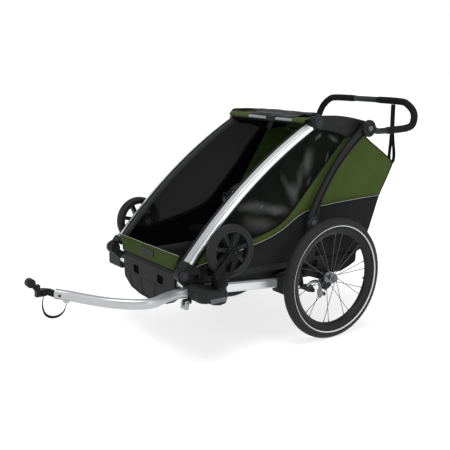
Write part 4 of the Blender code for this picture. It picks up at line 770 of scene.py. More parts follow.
@for_both_sides
def make_side(sign):
    window = WINDOW_EDGE + WINDOW_TOP + [(-0.0600, 0.8530), (-0.0790, 0.8440)] + pillar_edge(119.3, 134.9, 14)
    glass = patch_mesh(window, 0.016, PANEL_X - 0.0010, 0.0025, 0.0022, 3.0 * sign)
    # The near window takes the dark film with painted reflections, the far one the lighter film with the
    # backdrop's light painted in.
    folding("side_window", glass, NEAR_FILM_PAINTED_REFLECTIONS if sign > 0 else FAR_FILM_PAINTED_BACKLIGHT, sign, smooth=CLOTH_SMOOTH,
                      subdivide=1)
    green = (PANEL_PIPING + [(-0.050, 0.5300), (-0.020, 0.5600), (0.152, 0.8120), (0.126, 0.8130)]
             + WINDOW_EDGE[::-1])
    panel("side_green", green, 0.014, PANEL_X - 0.0004, 0.0022, 0.0011, 7.0, GREEN, sign, "side_panel")
    lower = (PANEL_PIPING[::-1] + pillar_edge(136.5, 138.6, 3)
             + [(-0.585, 0.3400), (-0.480, 0.3180), (-0.160, 0.3100), (-0.110, 0.3450), (0.020, 0.3450),
                (-0.010, 0.4300), (-0.045, 0.5000)])
    panel("side_lower", lower, 0.014, PANEL_X - 0.0004, 0.0024, 0.0012, 11.0, DARK, sign)
    hem = [p for p in PANEL_PIPING + WINDOW_EDGE[::-1] if p[0] <= -0.150]
    lining("side_hem_lining", hem, 0.02, PANEL_X - 0.0044, BLACK_LINING_AND_SHADE, sign)
    lining("side_green_lining", [p for p in green if p[0] > -0.170], 0.03, PANEL_X - 0.0042, BLACK_LINING_AND_SHADE, sign)
    lining("side_lower_lining", lower, 0.03, PANEL_X - 0.0042, BLACK_LINING_AND_SHADE, sign)
    bindings = [band(at_x(PANEL_X + out, line), half_width, 0.0010, 0.0009, up=(1, 0, 0))
                for out, line, half_width in ((0.0020, WINDOW_EDGE + WINDOW_TOP, 0.0028),
                                              (0.0018, pillar_edge(119.4, 137.2, 24, 0.0330), 0.0055),
                                              (-0.0052, WINDOW_EDGE + WINDOW_TOP, 0.0095))]
    folding("window_binding", merge(*bindings), BINDING, sign, smooth=50)
    folding("side_piping", tube(at_x(PANEL_X + 0.0024, PANEL_PIPING), 0.0015, 10), PIPING, sign)


@for_both_sides
def make_sill(sign):
    """The plastic ledge along the foot of the side cloth."""
    outline = smooth2([(-0.600, 0.3490), (-0.480, 0.3420), (-0.300, 0.3340), (-0.150, 0.3300)], 4)
    outline += smooth2([(-0.150, 0.3040), (-0.300, 0.3080), (-0.480, 0.3160), (-0.600, 0.3240)], 4)
    folding("side_sill", slab(outline, 0.2640, 0.2722), SILL, sign, bevel=(0.0022, 3))


# Trunk bag: green above the piping, dark below, open to the cabin

TRUNK_HALF = 0.2555
TRUNK_BACK = [(0.2480, 0.7990), (0.3280, 0.7480), (0.4020, 0.6975), (0.4135, 0.6850), (0.4165, 0.6700),
              (0.3800, 0.6060), (0.3430, 0.5450), (0.3130, 0.4700), (0.2840, 0.3990), (0.2500, 0.3300),
              (0.2240, 0.3160), (0.2160, 0.3060), (0.2130, 0.2740), (0.1960, 0.2640), (0.1700, 0.2530),
              (0.1260, 0.2400)]
TRUNK_SPLIT = 6
TRUNK_SEAM = smooth2([(-0.1050, 0.3030), (-0.0030, 0.3087), (0.0766, 0.3136), (0.1890, 0.3153),
                      (0.2190, 0.3140)], 4)
TRUNK_PIPING = smooth2([(0.0080, 0.5335), (0.0900, 0.5385), (0.2000, 0.5425), (0.3430, 0.5450)], 4)


@for_both_sides
def make_trunk_side(sign):
    upper = (TRUNK_PIPING[::-1] + [(-0.0300, 0.5580), (0.1380, 0.8160), (0.2300, 0.8280), (0.2500, 0.8180)]
             + TRUNK_BACK[:TRUNK_SPLIT])
    lower = (TRUNK_PIPING + TRUNK_BACK[TRUNK_SPLIT + 1:]
             + [(0.0900, 0.2400), (0.0300, 0.2440), (-0.0300, 0.2600), (-0.1050, 0.2900), (-0.1120, 0.3450),
                (-0.0700, 0.4300), (-0.0400, 0.5000)])
    panel("trunk_side", upper, 0.016, 0.2545, 0.0040, 0.0022, 21.0, GREEN, sign, "trunk" if sign > 0 else "")
    panel("trunk_lower", lower, 0.016, 0.2545, 0.0035, 0.0018, 31.0, DARK, sign)
    folding("trunk_seam", band(at_x(0.2582, TRUNK_SEAM), 0.0022, 0.0010, 0.0008, up=(1, 0, 0)), BLACK_LINING_AND_SHADE,
            sign)
    corners = ((-0.010, -0.011), (0.010, -0.011), (0.010, 0.011), (-0.010, 0.011), (-0.010, -0.011))
    loop = at_x(0.2592, [(0.060 + y, 0.384 + z) for y, z in corners])
    folding("trunk_loop", tube(loop, 0.0012, 8, up=(1, 0, 0)), GREY_BLACK, sign)
    lining("trunk_lining", upper, 0.03, 0.2510, GREEN_INSIDE_LIT, sign)
    lining("trunk_low_lining", lower, 0.03, 0.2510, BLACK_LINING_AND_SHADE, sign)
    folding("trunk_piping", tube(at_x(0.2575, TRUNK_PIPING), 0.0015, 10), PIPING, sign)
    folding("trunk_edge", tube(at_x(0.2550, smooth2(TRUNK_BACK, 3)), 0.0016, 8), BINDING, sign)


def make_trunk_back():
    flap = [(0.2515, 0.8240), (0.2530, 0.8080), (0.2540, 0.7985)]
    inner = [(y - 0.004, z - 0.003) for y, z in TRUNK_BACK]
    for name, profile, half, mat in (
            ("trunk_back", flap + TRUNK_BACK[1:TRUNK_SPLIT + 1], TRUNK_HALF, GREEN),
            ("trunk_base", TRUNK_BACK[TRUNK_SPLIT:], TRUNK_HALF, DARK),
            ("trunk_back_lining", inner[:TRUNK_SPLIT + 1], 0.2500, GREEN_INSIDE_LIT),
            ("trunk_base_lining", inner[TRUNK_SPLIT:], 0.2500, BLACK_LINING_AND_SHADE)):
        line = [Vector(p) for p in smooth2(profile, 3)]
        rows = []
        for k, (y, z) in enumerate(line):
            along = tangent_at(line, k)
            normal = Vector((-along.y, along.x))
            row = []
            for i in range(33):
                x = half * (i / 16 - 1)
                edge = 1 - (abs(x) / TRUNK_HALF) ** 4
                fold = noise.noise(Vector((x * 9, y * 9, z * 9))) * 0.0030
                out = (0.0040 + fold) * edge * (-1 if normal.x < 0 else 1)
                out *= 1 if name == "trunk_back" else 0.6
                row.append((x, y + normal.x * out, z + normal.y * out))
            rows.append(row)
        piece = folding(name, grid_mesh(rows), mat, smooth=CLOTH_SMOOTH, wall=(CLOTH_WALL, 0))
    bar = tube([(x, 0.3440, 0.5455) for x in (-0.256, -0.1, 0.1, 0.256)], 0.0015, 10)
    folding("trunk_back_piping", bar, PIPING)


make_trunk_back()


# Roof: one curved green sheet, the rolled cover with its straps, and the pale front strips

ROOF_HALF = 0.2580
ROOF_LINE = smooth2([(-0.036, 0.8865), (0.040, 0.8875), (0.130, 0.8825), (0.200, 0.8725), (0.230, 0.8575),
                     (0.2450, 0.8340), (0.2500, 0.8045)])
ROLL_HALF = 0.183


def make_roof():
    rows = []
    for y, z in ROOF_LINE:
        row = []
        for i in range(33):
            x = ROOF_HALF * (i / 16 - 1)
            edge = 1 - (x / ROOF_HALF) ** 2
            wave = 0.0012 * noise.noise(Vector((x * 16, y * 16, 2.0))) * edge
            row.append((x, y, z + 0.0035 * edge + wave))
        rows.append(row)
    inner = [[(x * 0.996, y, z - 0.0038) for x, y, z in row[::4]] for row in rows[::3] + rows[-1:]]
    build("roof_lining", grid_mesh(inner), BLACK_LINING_AND_SHADE, "shoulder_frame", smooth=CLOTH_SMOOTH)
    sheet = build("roof_sheet", grid_mesh(rows), GREEN, "shoulder_frame", node="canopy", smooth=CLOTH_SMOOTH,
                  wall=(0.0022, -1))
    rear = [(0.2500 * (i / 12 - 1), 0.2512, 0.8040) for i in range(25)]
    build("roof_binding", band(rear, 0.0012, 0.0040, 0.001), BINDING, "shoulder_frame")


def make_rolled_cover():
    middle_y, middle_z = 0.018, 0.8975
    rings = []
    for i in range(81):
        x = ROLL_HALF * (i / 40 - 1)
        end = sqrt(max(min((ROLL_HALF - abs(x)) / 0.010, 1.0), 0.0))
        ring = []
        for k in range(36):
            c, s = cos(tau * k / 36), sin(tau * k / 36)
            lump = noise.noise(Vector((x * 22, c * 2.4, s))) + 0.5 * noise.noise(Vector((x * 60, c * 5, 4)))
            across = 0.0400 * (0.93 + 0.07 * end)
            height = 0.0062 * (0.55 + 0.45 * end) * (1 + 0.22 * lump)
            ring.append((x, middle_y + copysign(across * abs(c) ** 0.8, c),
                         middle_z + copysign(1, s) * height * abs(s) ** 0.75))
        rings.append(ring)
    roll = build("rolled_cover", rings_mesh(rings), ROLLED_PAINTED_STREAKS, "shoulder_frame", node="cover_roll",
                 smooth=CLOTH_SMOOTH)
    folds = []
    for k, y in enumerate((-0.012, 0.006, 0.026, 0.044)):
        line = [(x * 0.176, y + 0.004 * sin(x * 5 + k), middle_z + 0.0058 + 0.0006 * sin(9 * x + 2 * k))
                for x in [j / 15 - 1 for j in range(31)]]
        folds.append(band(line, 0.0055, 0.0011, 0.001, steps=2))
    build("cover_folds", merge(*folds), ROLLED_PAINTED_STREAKS, "shoulder_frame", smooth=CLOTH_SMOOTH)
    straps = []
    for x in (-0.085, 0.085):
        loop = [(x, middle_y + 0.0425 * cos(pi * k / 24), middle_z - 0.004 + 0.0112 * sin(pi * k / 24) ** 0.4)
                for k in range(25)]
        straps.append(band(loop, 0.0007, 0.0080, 0.0006, up=(1, 0, 0)))
    build("cover_straps", merge(*straps), WEBBING, "shoulder_frame")


def make_front_strips():
    """Cloth wrapped over the front bar, the pale strips below it, and the clip with its tail."""
    corner = smooth2([(-0.0878, 0.8770), (-0.0880, 0.8810), (-0.0852, 0.8868), (-0.0790, 0.8902),
                      (-0.0700, 0.8915), (-0.0500, 0.8908), (-0.0330, 0.8902)], 4)
    middle = smooth2([(-0.0830, 0.8885), (-0.0760, 0.8920), (-0.0600, 0.8955), (-0.0350, 0.9000),
                      (-0.0150, 0.9035)], 4)
    for name, low, high, line, mat, wave in (("front_wrap_left", 0.175, 0.2520, corner, GREEN, 0.0012),
                                             ("front_wrap_middle", -0.116, 0.178, middle, ROLLED_PAINTED_STREAKS, 0.0026),
                                             ("front_wrap_right", -0.2520, -0.114, corner, GREEN, 0.0012)):
        rows = [[(low + (high - low) * i / 48, y,
                  z + wave * noise.noise(Vector((i * 0.15 + low * 40, y * 45, 0)))) for i in range(49)]
                for y, z in line]
        piece = build(name, grid_mesh(rows), mat, None, smooth=CLOTH_SMOOTH, wall=(0.0012, 0))
        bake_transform(piece)
    outline = [(-0.0868, 0.8765), (-0.0868, 0.8828), (-0.0820, 0.8880), (-0.0740, 0.8898), (-0.0600, 0.8898),
               (-0.0600, 0.8886), (-0.0742, 0.8885), (-0.0810, 0.8868), (-0.0852, 0.8822), (-0.0852, 0.8765)]
    build("front_strips", merge(slab(outline, 0.066, 0.248), slab(outline, -0.248, 0.012)), PALE_STRIP,
          "pillar_frame")
    build("front_clip", box((0.0090, -0.0892, 0.8710), (0.0680, -0.0600, 0.8925)), BLACK, "pillar_frame",
          bevel=(0.0015, 2))
    tail = [(0.0480, -0.0860, 0.8740), (0.0400, -0.0850, 0.8600), (0.0270, -0.0830, 0.8460),
            (0.0160, -0.0820, 0.8360)]
    build("front_clip_tail", band(tail, 0.0130, 0.0012, 0.001, up=(0, 1, 0)), WEBBING, "pillar_frame")


make_roof()
make_rolled_cover()
make_front_strips()


# Apron with a piped top and a bare patch

def make_apron():
    outline = [(-0.192, 0.3535), (0.192, 0.3535), (0.2310, 0.4160), (-0.2310, 0.4160)]
    verts, faces = patch_mesh(outline, 0.013, 0.0, 0.0035, 0.0016, 41.0)
    verts = [(x, -0.6595 - out * 0.7, z) for out, x, z in verts]
    folding("front_apron", (verts, faces), APRON_GREEN_SHADED, node="apron", smooth=CLOTH_SMOOTH,
                      wall=(CLOTH_WALL, 1))
    top = [(x, -0.6612, 0.4160 + 0.0004 * sin(x * 40)) for x in [0.2310 * (k / 10 - 1) for k in range(21)]]
    folding("apron_piping", tube(top, 0.0012, 10), PIPING)
    bare = band([(x, -0.6655, 0.3870) for x in (-0.050, 0.050)], 0.0008, 0.0135, 0.0007)
    folding("apron_patch", bare, PATCH, slot="black_fabric", bevel=(0.0004, 2))


make_apron()


# Seat: two hammock places with stitched seams, and the harnesses

SEAT_LINE = smooth2([(-0.330, 0.402), (-0.300, 0.410), (-0.230, 0.400), (-0.150, 0.388), (-0.070, 0.380),
                     (-0.020, 0.386), (0.004, 0.424), (0.022, 0.487), (0.044, 0.560), (0.070, 0.630),
                     (0.080, 0.652)], 4)
SEAT_HALF = 0.2215
SEAT_THICK = 0.0125


def seat_skin(upper):
    columns = 57
    rows = []
    for k, (y, z) in enumerate(SEAT_LINE):
        share = k / (len(SEAT_LINE) - 1)
        lean = min(max((share - 0.4) / 0.2, 0.0), 1.0)
        row = []
        for i in range(columns):
            x = SEAT_HALF * (2 * i / (columns - 1) - 1)
            dip = 0.022 * sin(pi * share) * sin(pi * abs(x) / SEAT_HALF) ** 2
            lump = noise.noise(Vector((x * 20, share * 14, 3)))
            quilt = 0.0016 * abs(sin(share * 26)) ** 0.5 + 0.0012 * lump
            lift = quilt if upper else -SEAT_THICK
            row.append((x, y + dip * lean * 0.9 - lift * lean, z - dip * (1 - lean) + lift * (1 - lean)))
        rows.append(row)
    return rows


def make_seat():
    skin = [seat_skin(upper) for upper in (True, False)]
    rows, columns = len(skin[0]), len(skin[0][0])
    verts, faces = merge(*[grid_mesh(side) for side in skin])
    count = rows * columns
    rim = ([k * columns for k in range(rows)] + [(rows - 1) * columns + i for i in range(1, columns)]
           + [k * columns + columns - 1 for k in range(rows - 2, -1, -1)] + list(range(columns - 2, 0, -1)))
    faces += [(a, b, b + count, a + count) for a, b in zip(rim, rim[1:] + rim[:1])]
    folding("hammock_seat", (verts, faces), SEATING, node="seat", smooth=60)


make_seat()


@for_both_sides
def make_harness(sign):
    centre, y, z = 0.113, -0.205, 0.534
    straps, pads = [], []
    for lean in (1, -1):
        route = smooth_path([(centre + lean * 0.011, y, z + 0.014), (centre + lean * 0.024, -0.165, 0.556),
                             (centre + lean * 0.034, -0.110, 0.577), (centre + lean * 0.038, -0.045, 0.592),
                             (centre + lean * 0.040, 0.020, 0.598), (centre + lean * 0.040, 0.046, 0.597)], 5)
        straps.append(band(route, 0.0110, 0.0011, 0.001))
        pads.append(band(route[6:21], 0.0165, 0.0050, 0.0045, steps=3,
                         radius=lambda t: 1.0 if 0.05 < t < 0.95 else 0.86))
    crotch = smooth_path([(centre, y, z - 0.014), (centre, y + 0.002, 0.480), (centre, y + 0.010, 0.430),
                          (centre, y + 0.016, 0.388)], 4)
    straps.append(band(crotch, 0.0140, 0.0012, 0.001, up=(0, 1, 0)))
    folding("harness_webbing", merge(*straps), WEBBING, sign, node="harness", smooth=50)
    folding("harness_pads", merge(*pads), PADDING, sign, smooth=60)
    clasp = merge(box((centre - 0.022, y - 0.009, z - 0.022), (centre + 0.022, y + 0.007, z + 0.010)),
                  box((centre - 0.017, y - 0.008, z + 0.0105), (centre + 0.017, y + 0.006, z + 0.023)))
    folding("harness_buckle", clasp, GREY_BLACK, sign, bevel=(0.003, 3))
    press = rings_mesh([[(centre + r * cos(tau * k / 24), y - 0.0095 + out, z - 0.005 + r * sin(tau * k / 24))
                         for k in range(24)]
                        for r, out in ((0.0085, 0.002), (0.0085, -0.0008), (0.00765, -0.0016),
                                       (0.002125, -0.0012))])
    folding("harness_press", press, BUTTON, sign)


# Castings, tubes and buttons keep their solids, with finishes of their own

FINISHES = {
    "receiver": GREY_BLACK, "rear_bracket": BLACK, "pillar_foot": BLACK, "bumper": BUMPER, "swing_arm": BLACK,
    "brake_pedal": GREY_BLACK, "front_fork": FORK, "hitch_cup": BLACK, "side_rail": SILVER_RAIL,
    "front_cross_tube": SILVER_RAIL, "rear_cross_tube": BLACK, "arm_lever": PALE, "brake_pin": STEEL,
    "suspension_spring": GASKET, "wheel_release_button": BUTTON, "handlebar_button": BUTTON,
    "fold_button": BUTTON,
}
for stem, finish in FINISHES.items():
    for node in (stem, f"{stem}_left", f"{stem}_right"):
        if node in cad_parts:
            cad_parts[node].data.materials[0] = finish


def ringed_disc(name, sign, centre, radius, low, high, body, mat):
    """A knob with a rounded rim, a groove and a slightly domed middle."""
    profile = [(radius - 0.002, low), (radius, low + 0.001), (radius, high - 0.002),
               (radius - 0.0006, high - 0.0006), (radius - 0.002, high), (radius * 0.82, high),
               (radius * 0.78, high - 0.0024), (radius * 0.66, high - 0.0024), (radius * 0.62, high),
               (radius * 0.30, high + 0.0004), (radius * 0.05, high + 0.0005)]
    build(name, turned(profile, centre, 56), mat, body, sign)


@for_both_sides
def make_shoulder(sign):
    lower_edge = [(0.2260, 0.8120), (0.190, 0.8050), (0.125, 0.8065), (0.080, 0.8250), (0.020, 0.8410)]
    outer = smooth2([(-0.038, 0.9030), (0.060, 0.8995), (0.130, 0.8905), (0.190, 0.8780), (0.226, 0.8680),
                     (0.2400, 0.8480), (0.2360, 0.8240), *lower_edge, (-0.038, 0.8490)], 4)
    outer += arc(SHOULDER_JOINT, 0.027, 270, 90, 17)[1:-1]
    inner = smooth2([(-0.036, 0.8835), (0.060, 0.8845), (0.130, 0.8800), (0.190, 0.8700), (0.222, 0.8590),
                     (0.2360, 0.8430), (0.2340, 0.8240), *lower_edge, (-0.036, 0.8480)], 4)
    build("shoulder_shell", slab(outer, 0.2624, 0.2820), BLACK, "shoulder_frame", sign, "shoulder", smooth=30,
          bevel=(0.0055, 4))
    build("shoulder_inner", slab(inner, 0.2430, 0.2628), BLACK, "shoulder_frame", sign, smooth=30,
          bevel=(0.0055, 4))
    ringed_disc("shoulder_disc", sign, SHOULDER_JOINT, 0.0210, 0.2800, 0.2890, "shoulder_frame", BOSS)
    spacer = [(0.0175, 0.2800), (0.0180, 0.2805), (0.0180, 0.2894), (0.0066, 0.2894), (0.0066, 0.3080)]
    build("handle_spacer", turned(spacer, HANDLE_JOINT, 40), BLACK, "shoulder_frame", sign)
    plaque = [(0.0500, 0.8625), (0.0510, 0.8612), (0.1085, 0.8612), (0.1100, 0.8625), (0.1100, 0.8780),
              (0.1088, 0.8795), (0.0512, 0.8795), (0.0500, 0.8780)]
    build("shoulder_plaque", slab(plaque, 0.2815, 0.2824), PATCH, "shoulder_frame", sign, bevel=(0.0004, 2))


@for_both_sides
def make_rear_pillar(sign):
    front = smooth2([(-0.101, 0.502), (-0.0815, 0.545), (-0.0415, 0.611), (-0.002, 0.668), (0.053, 0.738),
                     (0.114, 0.797), (0.192, 0.857)], 5)
    back = smooth2([(0.219, 0.826), (0.163, 0.788), (0.106, 0.740), (0.048, 0.681), (0.000, 0.613),
                    (-0.040, 0.545), (-0.047, 0.490)], 5)
    # A near-black band on the blade's face stands for its groove: painted shade, the groove itself is not
    # cut.
    groove = [Vector(a).lerp(Vector(b), 0.66) for a, b in zip(front[2:-2], back[::-1][2:-2])]
    build("pillar_groove_shade_band", band(at_x(0.3068, groove), 0.0030, 0.0007, 0.0006, up=(1, 0, 0)), BLACK_LINING_AND_SHADE,
          "rear_frame", sign, slot="black_moulded_plastic")
    build("rear_pillar_blade", slab(front + back, 0.2900, 0.3070), BLACK, "rear_frame", sign, "rear_pillar",
          smooth=30, bevel=(0.0042, 4))
    eye = [(0.0205, 0.2902), (0.0215, 0.2910), (0.0215, 0.3055), (0.0200, 0.3068), (0.0135, 0.3068)]
    build("rear_pillar_eye", turned(eye, HANDLE_JOINT), BLACK, "rear_frame", sign)
    boss = [(0.0245, 0.2904), (0.0260, 0.2916), (0.0260, 0.3070), (0.0250, 0.3084), (0.0235, 0.3087),
            (0.0200, 0.3087), (0.0192, 0.3078), (0.0150, 0.3078), (0.0142, 0.3087), (0.0128, 0.3084),
            (0.0126, 0.3040)]
    build("fold_boss", turned(boss, REAR_JOINT, 56), BOSS, "rear_frame", sign)
    build("pillar_clip", box((0.3066, -0.0420, 0.5555), (0.3098, -0.0300, 0.5650)), GREY_BLACK, "rear_frame",
          sign, bevel=(0.0010, 2))


@for_both_sides
def make_front_details(sign):
    ringed_disc("foot_disc", sign, PILLAR_FOOT, 0.0183, 0.2808, 0.2902, "pillar_frame", BOSS)
    strip = [(-0.6140, 0.2590), (-0.5520, 0.2590), (-0.5450, 0.2615), (-0.5430, 0.2730), (-0.5480, 0.2760),
             (-0.6140, 0.2760)]
    build("reflector", slab(strip, 0.3676, 0.3690), REFLECTOR, "chassis", sign, bevel=(0.0005, 2))
    bolt = [(0.0052, 0.3738), (0.0052, 0.3752), (0.0044, 0.3758), (0.0026, 0.3758), (0.0024, 0.3745)]
    build("fork_bolt", turned(bolt, SMALL_HUB, 24), GREY_BLACK, "fork", sign)


def make_bumper_details():
    """Near-black backs behind the two openings, painted shade in them, and thin near-black lines across the
    bumper, painted shade along its creases and seam.
    """
    # Painted shade: near-black backs fill the two openings.
    backs = merge(box((0.064, -0.6565, 0.2720), (0.123, -0.6560, 0.3180)),
                  box((-0.123, -0.6565, 0.2720), (-0.064, -0.6560, 0.3180)))
    build("bumper_opening_shade", backs, BLACK_LINING_AND_SHADE, "chassis", slot="black_moulded_plastic")
    # Thin near-black lines along the bumper's creases and seam: painted shade in the creases, and the seam's
    # own dark joint.
    lines = [tube([(x, -0.6619, z) for x, z in line], 0.0011, 6, up=(0, 1, 0)) for line in (
        ((-0.150, 0.2600), (-0.128, 0.2180), (-0.060, 0.2030), (0.060, 0.2030), (0.128, 0.2180),
         (0.150, 0.2600)), ((-0.060, 0.2600), (-0.040, 0.2060)), ((0.060, 0.2600), (0.040, 0.2060)),
        ((-0.185, 0.3400), (0.185, 0.3400)))]
    build("bumper_crease_shade_lines", merge(*lines), BLACK_LINING_AND_SHADE, "chassis", slot="black_moulded_plastic")


def make_tub():
    """The footwell: a thin shell whose ribbed floor follows the side rails."""
    front, length = -0.604, 0.492
    rows = []
    for y in [front + length * k / 24 for k in range(25)]:
        end = min((y - front) / 0.022, (front + length - y) / 0.022, 1.0)
        floor_z = 0.2525 - 0.0957 * (y + 0.237) - 0.0270 + 0.0180 * (1 - sqrt(max(end, 0.0)))
        rib = 0.0018 * (int((y + 0.6) / 0.0205) % 2)
        wall = [(-0.2360, y, 0.3350), (-0.2360, y, 0.3000), (-0.2356, y, floor_z + 0.0160),
                (-0.2300, y, floor_z + 0.0040), (-0.2180, y, floor_z)]
        ribbed = [(x, y, floor_z - rib) for x in (-0.170, -0.120, -0.060, 0.0, 0.060, 0.120, 0.170)]
        rows.append(wall + ribbed + [(-x, y, z) for x, _, z in wall[::-1]])
    verts, faces = grid_mesh(rows)
    count = len(rows[0])
    faces += [tuple(range(count)), tuple(range(len(verts) - 1, len(verts) - count - 1, -1))]
    build("tub_shell", (verts, faces), DEEP, "chassis", node="tub", smooth=35, wall=(0.0030, 0))


make_bumper_details()
make_tub()


# Tow arm with its boot

ARM_ROUTE = (
    (0.265, -0.612, 0.284), (0.265, -0.655, 0.284), (0.263, -0.695, 0.285), (0.270, -0.730, 0.285),
    (0.285, -0.765, 0.286), (0.300, -0.800, 0.286), (0.307, -0.830, 0.287), (0.300, -0.862, 0.288),
    (0.280, -0.900, 0.290), (0.242, -0.952, 0.295), (0.185, -1.000, 0.300), (0.120, -1.050, 0.307),
    (0.085, -1.085, 0.312))


def squircle(half_width, half_height, count=28, power=2.4):
    angles = [tau * k / count for k in range(count)]
    return [(copysign(half_width * abs(cos(a)) ** (2 / power), cos(a)),
             copysign(half_height * abs(sin(a)) ** (2 / power), sin(a))) for a in angles]


def make_arm():
    build("tow_arm", tube(smooth_path(ARM_ROUTE), section=squircle(0.0150, 0.0185)), SILVER_ARM, "chassis",
          node="hitch_arm", smooth=50)
    end = Vector(ARM_ROUTE[-1])
    away = (end - Vector(ARM_ROUTE[-2])).normalized()
    cap = tube([end - away * 0.010, end + away * 0.0002, end + away * 0.0010],
               lambda t: 1.0 if t < 0.9 else 0.93, section=squircle(0.0154, 0.0189))
    build("arm_end", cap, SILVER_ARM, "chassis")
    side_way = away.cross(Vector((0, 0, 1))).normalized()
    # The near-black disc on each bolt head is painted shade of the socket's recess.
    for name, mat, shape in (("arm_bolt", DARK_STEEL, ((0.0062, 0.0148), (0.0062, 0.0162), (0.0052, 0.0170))),
                             ("arm_bolt_socket_shade", BLACK_LINING_AND_SHADE, ((0.0036, 0.0160), (0.0036, 0.0173)))):
        heads = [rings_mesh([[end - away * 0.021 + side_way * (out * way) + away * (r * cos(tau * k / 24))
                              + Vector((0, 0, r * sin(tau * k / 24))) for k in range(24)]
                             for r, out in shape]) for way in (-1, 1)]
        build(name, merge(*heads), mat, "chassis", slot="bright_steel")
    build("strap_lug", box((0.1000, -1.0660, 0.2815), (0.1200, -1.0480, 0.2960)), SILVER_ARM, "chassis",
          bevel=(0.0015, 2))
    start = end + away * 0.0004
    route = smooth_path([start, start + away * 0.010, HITCH + Vector((0.0030, 0.0220, -0.0030)),
                         HITCH + Vector((0, 0.010, 0))], 10)
    boot = tube(route, lambda t: 0.0136 * (1 - 0.13 * (0.5 + 0.5 * cos(t * tau * 5)) * min(1, 4 * t)), 24)
    build("coupling_bellows", boot, GASKET, "chassis", node="coupling_boot", slot="black_rubber", smooth=60)
    barrel = [[HITCH + Vector((r * cos(tau * k / 28), r * sin(tau * k / 28), z)) for k in range(28)]
              for r, z in ((0.0110, -0.0080), (0.0120, -0.0072), (0.0120, 0.0072), (0.0110, 0.0080))]
    build("coupling_barrel", rings_mesh(barrel), GASKET, "chassis", slot="black_rubber")


make_arm()


# Suspension, and the moulded plates between the wheel and the body

@for_both_sides
def make_suspension(sign):
    loop = smooth_path([(0.2930, -0.092, 0.2180), (0.2935, -0.072, 0.2310), (0.2940, -0.046, 0.2330),
                        (0.2940, -0.027, 0.2240), (0.2935, -0.022, 0.2070), (0.2930, -0.020, 0.1910)])
    lug = [(-0.031, 0.197), (-0.011, 0.197), (-0.004, 0.181), (-0.006, 0.164), (-0.017, 0.156),
           (-0.029, 0.162), (-0.033, 0.179)]
    metalwork = merge(tube(loop, lambda t: 0.0066 - 0.0012 * abs(2 * t - 1), 14), slab(lug, 0.2902, 0.2950))
    build("suspension_metal", metalwork, DARK_STEEL, "swing_arm", sign, bevel=(0.0008, 2))
    bolt = (0.003, 0.170)
    ring = [(0.0085, 0.2900), (0.0085, 0.2950), (0.0066, 0.2955), (0.0064, 0.2930)]
    build("suspension_ring", turned(ring, bolt, 28), STEEL, "swing_arm", sign)
    knob = [(0.0062, 0.2900), (0.0062, 0.2975), (0.0050, 0.2990), (0.0010, 0.2992)]
    build("suspension_knob", turned(knob, bolt, 24), BLACK, "swing_arm", sign)
    drum = [(0.0180, 0.2900), (0.0270, 0.2904), (0.0285, 0.2916), (0.0285, 0.3000), (0.0270, 0.3016),
            (0.0215, 0.3020), (0.0215, 0.3170), (0.0205, 0.3180), (0.0080, 0.3180)]
    build("hub_drum", turned(drum, AXLE), BLACK, "swing_arm", sign)


@for_both_sides
def make_wheel_plates(sign):
    for name, outline, low, high, body in (
            ("bracket_skirt", [(-0.170, 0.262), (-0.095, 0.256), (-0.090, 0.2230), (-0.105, 0.2190),
                               (-0.170, 0.2215)], 0.2600, 0.2735, "chassis"),
            ("suspension_leaf", [(-0.1150, 0.2290), (-0.0894, 0.2250), (-0.0583, 0.2189), (-0.0387, 0.1930),
                                 (-0.0447, 0.1822), (-0.0750, 0.1900), (-0.1012, 0.2044), (-0.1170, 0.2100)],
             0.2745, 0.2880, "swing_arm"),
            ("axle_bracket", [(-0.020, 0.2620), (0.0260, 0.2640), (0.0420, 0.2500), (0.0500, 0.2250),
                              (0.0490, 0.1980), (0.0377, 0.1885), (0.0188, 0.1809), (-0.0008, 0.1917),
                              (-0.0110, 0.2133), (-0.0149, 0.2336)], 0.2755, 0.2885, "swing_arm")):
        build(name, slab(outline, low, high), BLACK, body, sign, bevel=(0.0030, 3))


@for_both_sides
def make_tube_cap(sign):
    ringed_disc("tube_cap", sign, (0.002, 0.270), 0.0238, 0.2600, 0.2742, "chassis", GREY_BLACK)


# Floor, light and camera

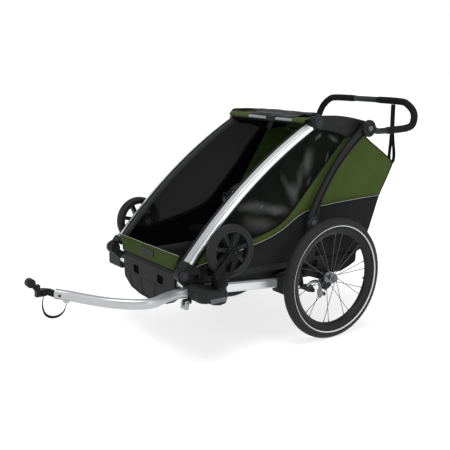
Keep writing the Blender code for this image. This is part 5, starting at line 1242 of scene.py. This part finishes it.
world = bpy.data.worlds.new("studio")
bpy.context.scene.world = world
world.use_nodes = True
background = world.node_tree.nodes["Background"]
background.inputs["Strength"].default_value = 1.0
heading = add(world, "ShaderNodeTexCoord")
parts = add(world, "ShaderNodeSeparateXYZ", heading.outputs["Generated"])
sky = ramp(world, parts.outputs["Z"], (1.0, 1.0, 1.0), (0.42, 0.42, 0.43), (0.12, 0.55))
wire(world, sky, background.inputs["Color"])


def place_object(name, data):
    thing = bpy.data.objects.new(name, data)
    bpy.context.scene.collection.objects.link(thing)
    return thing


def aimed(direction):
    return direction.to_track_quat("-Z", "Y").to_euler()


floor_mesh = bpy.data.meshes.new("floor")
floor_mesh.from_pydata([(-30, -30, 0), (30, -30, 0), (30, 30, 0), (-30, 30, 0)], [], [(0, 1, 2, 3)])
floor_mat, _ = shader_of("pale_floor", "", (0.36, 0.36, 0.36), 0.7, Emission_Color=(1, 1, 1, 1),
                         Emission_Strength=0.73)
floor_mesh.materials.append(floor_mat)
place_object("floor", floor_mesh)

sun = bpy.data.lights.new("soft_sun", "SUN")
sun.energy = 1.9
sun.angle = radians(32)
place_object("soft_sun", sun).rotation_euler = aimed(Vector((-0.25, 0.20, -1.0)))
for name, place, target, size, power in (
        ("side_light", (3.6, 0.6, 1.6), (0.2, -0.1, 0.5), (1.4, 2.4), 22),
        ("front_light", (0.8, -3.8, 2.0), (0, -0.4, 0.5), (2.4, 1.4), 11)):
    light = bpy.data.lights.new(name, "AREA")
    light.shape = "RECTANGLE"
    light.size, light.size_y = size
    light.energy = power
    thing = place_object(name, light)
    thing.location = Vector(place) + SHIFT
    thing.rotation_euler = aimed(Vector(target) - Vector(place))

camera_data = bpy.data.cameras.new("camera")
camera_data.sensor_width = 36.0
camera_data.lens = 36.0 * 792.7 / 450.0
camera_data.clip_end = 100.0
camera = place_object("camera", camera_data)
back = Vector((0.7974, -0.565, 0.2117)).normalized()
right = Vector((0, 0, 1)).cross(back).normalized()
turn = Matrix((right, back.cross(right), back)).transposed().to_4x4()
camera.matrix_world = Matrix.Translation(Vector((2.624, -2.150, 1.143)) + SHIFT) @ turn
bpy.context.scene.camera = camera
bpy.context.scene.view_settings.view_transform = "Standard"
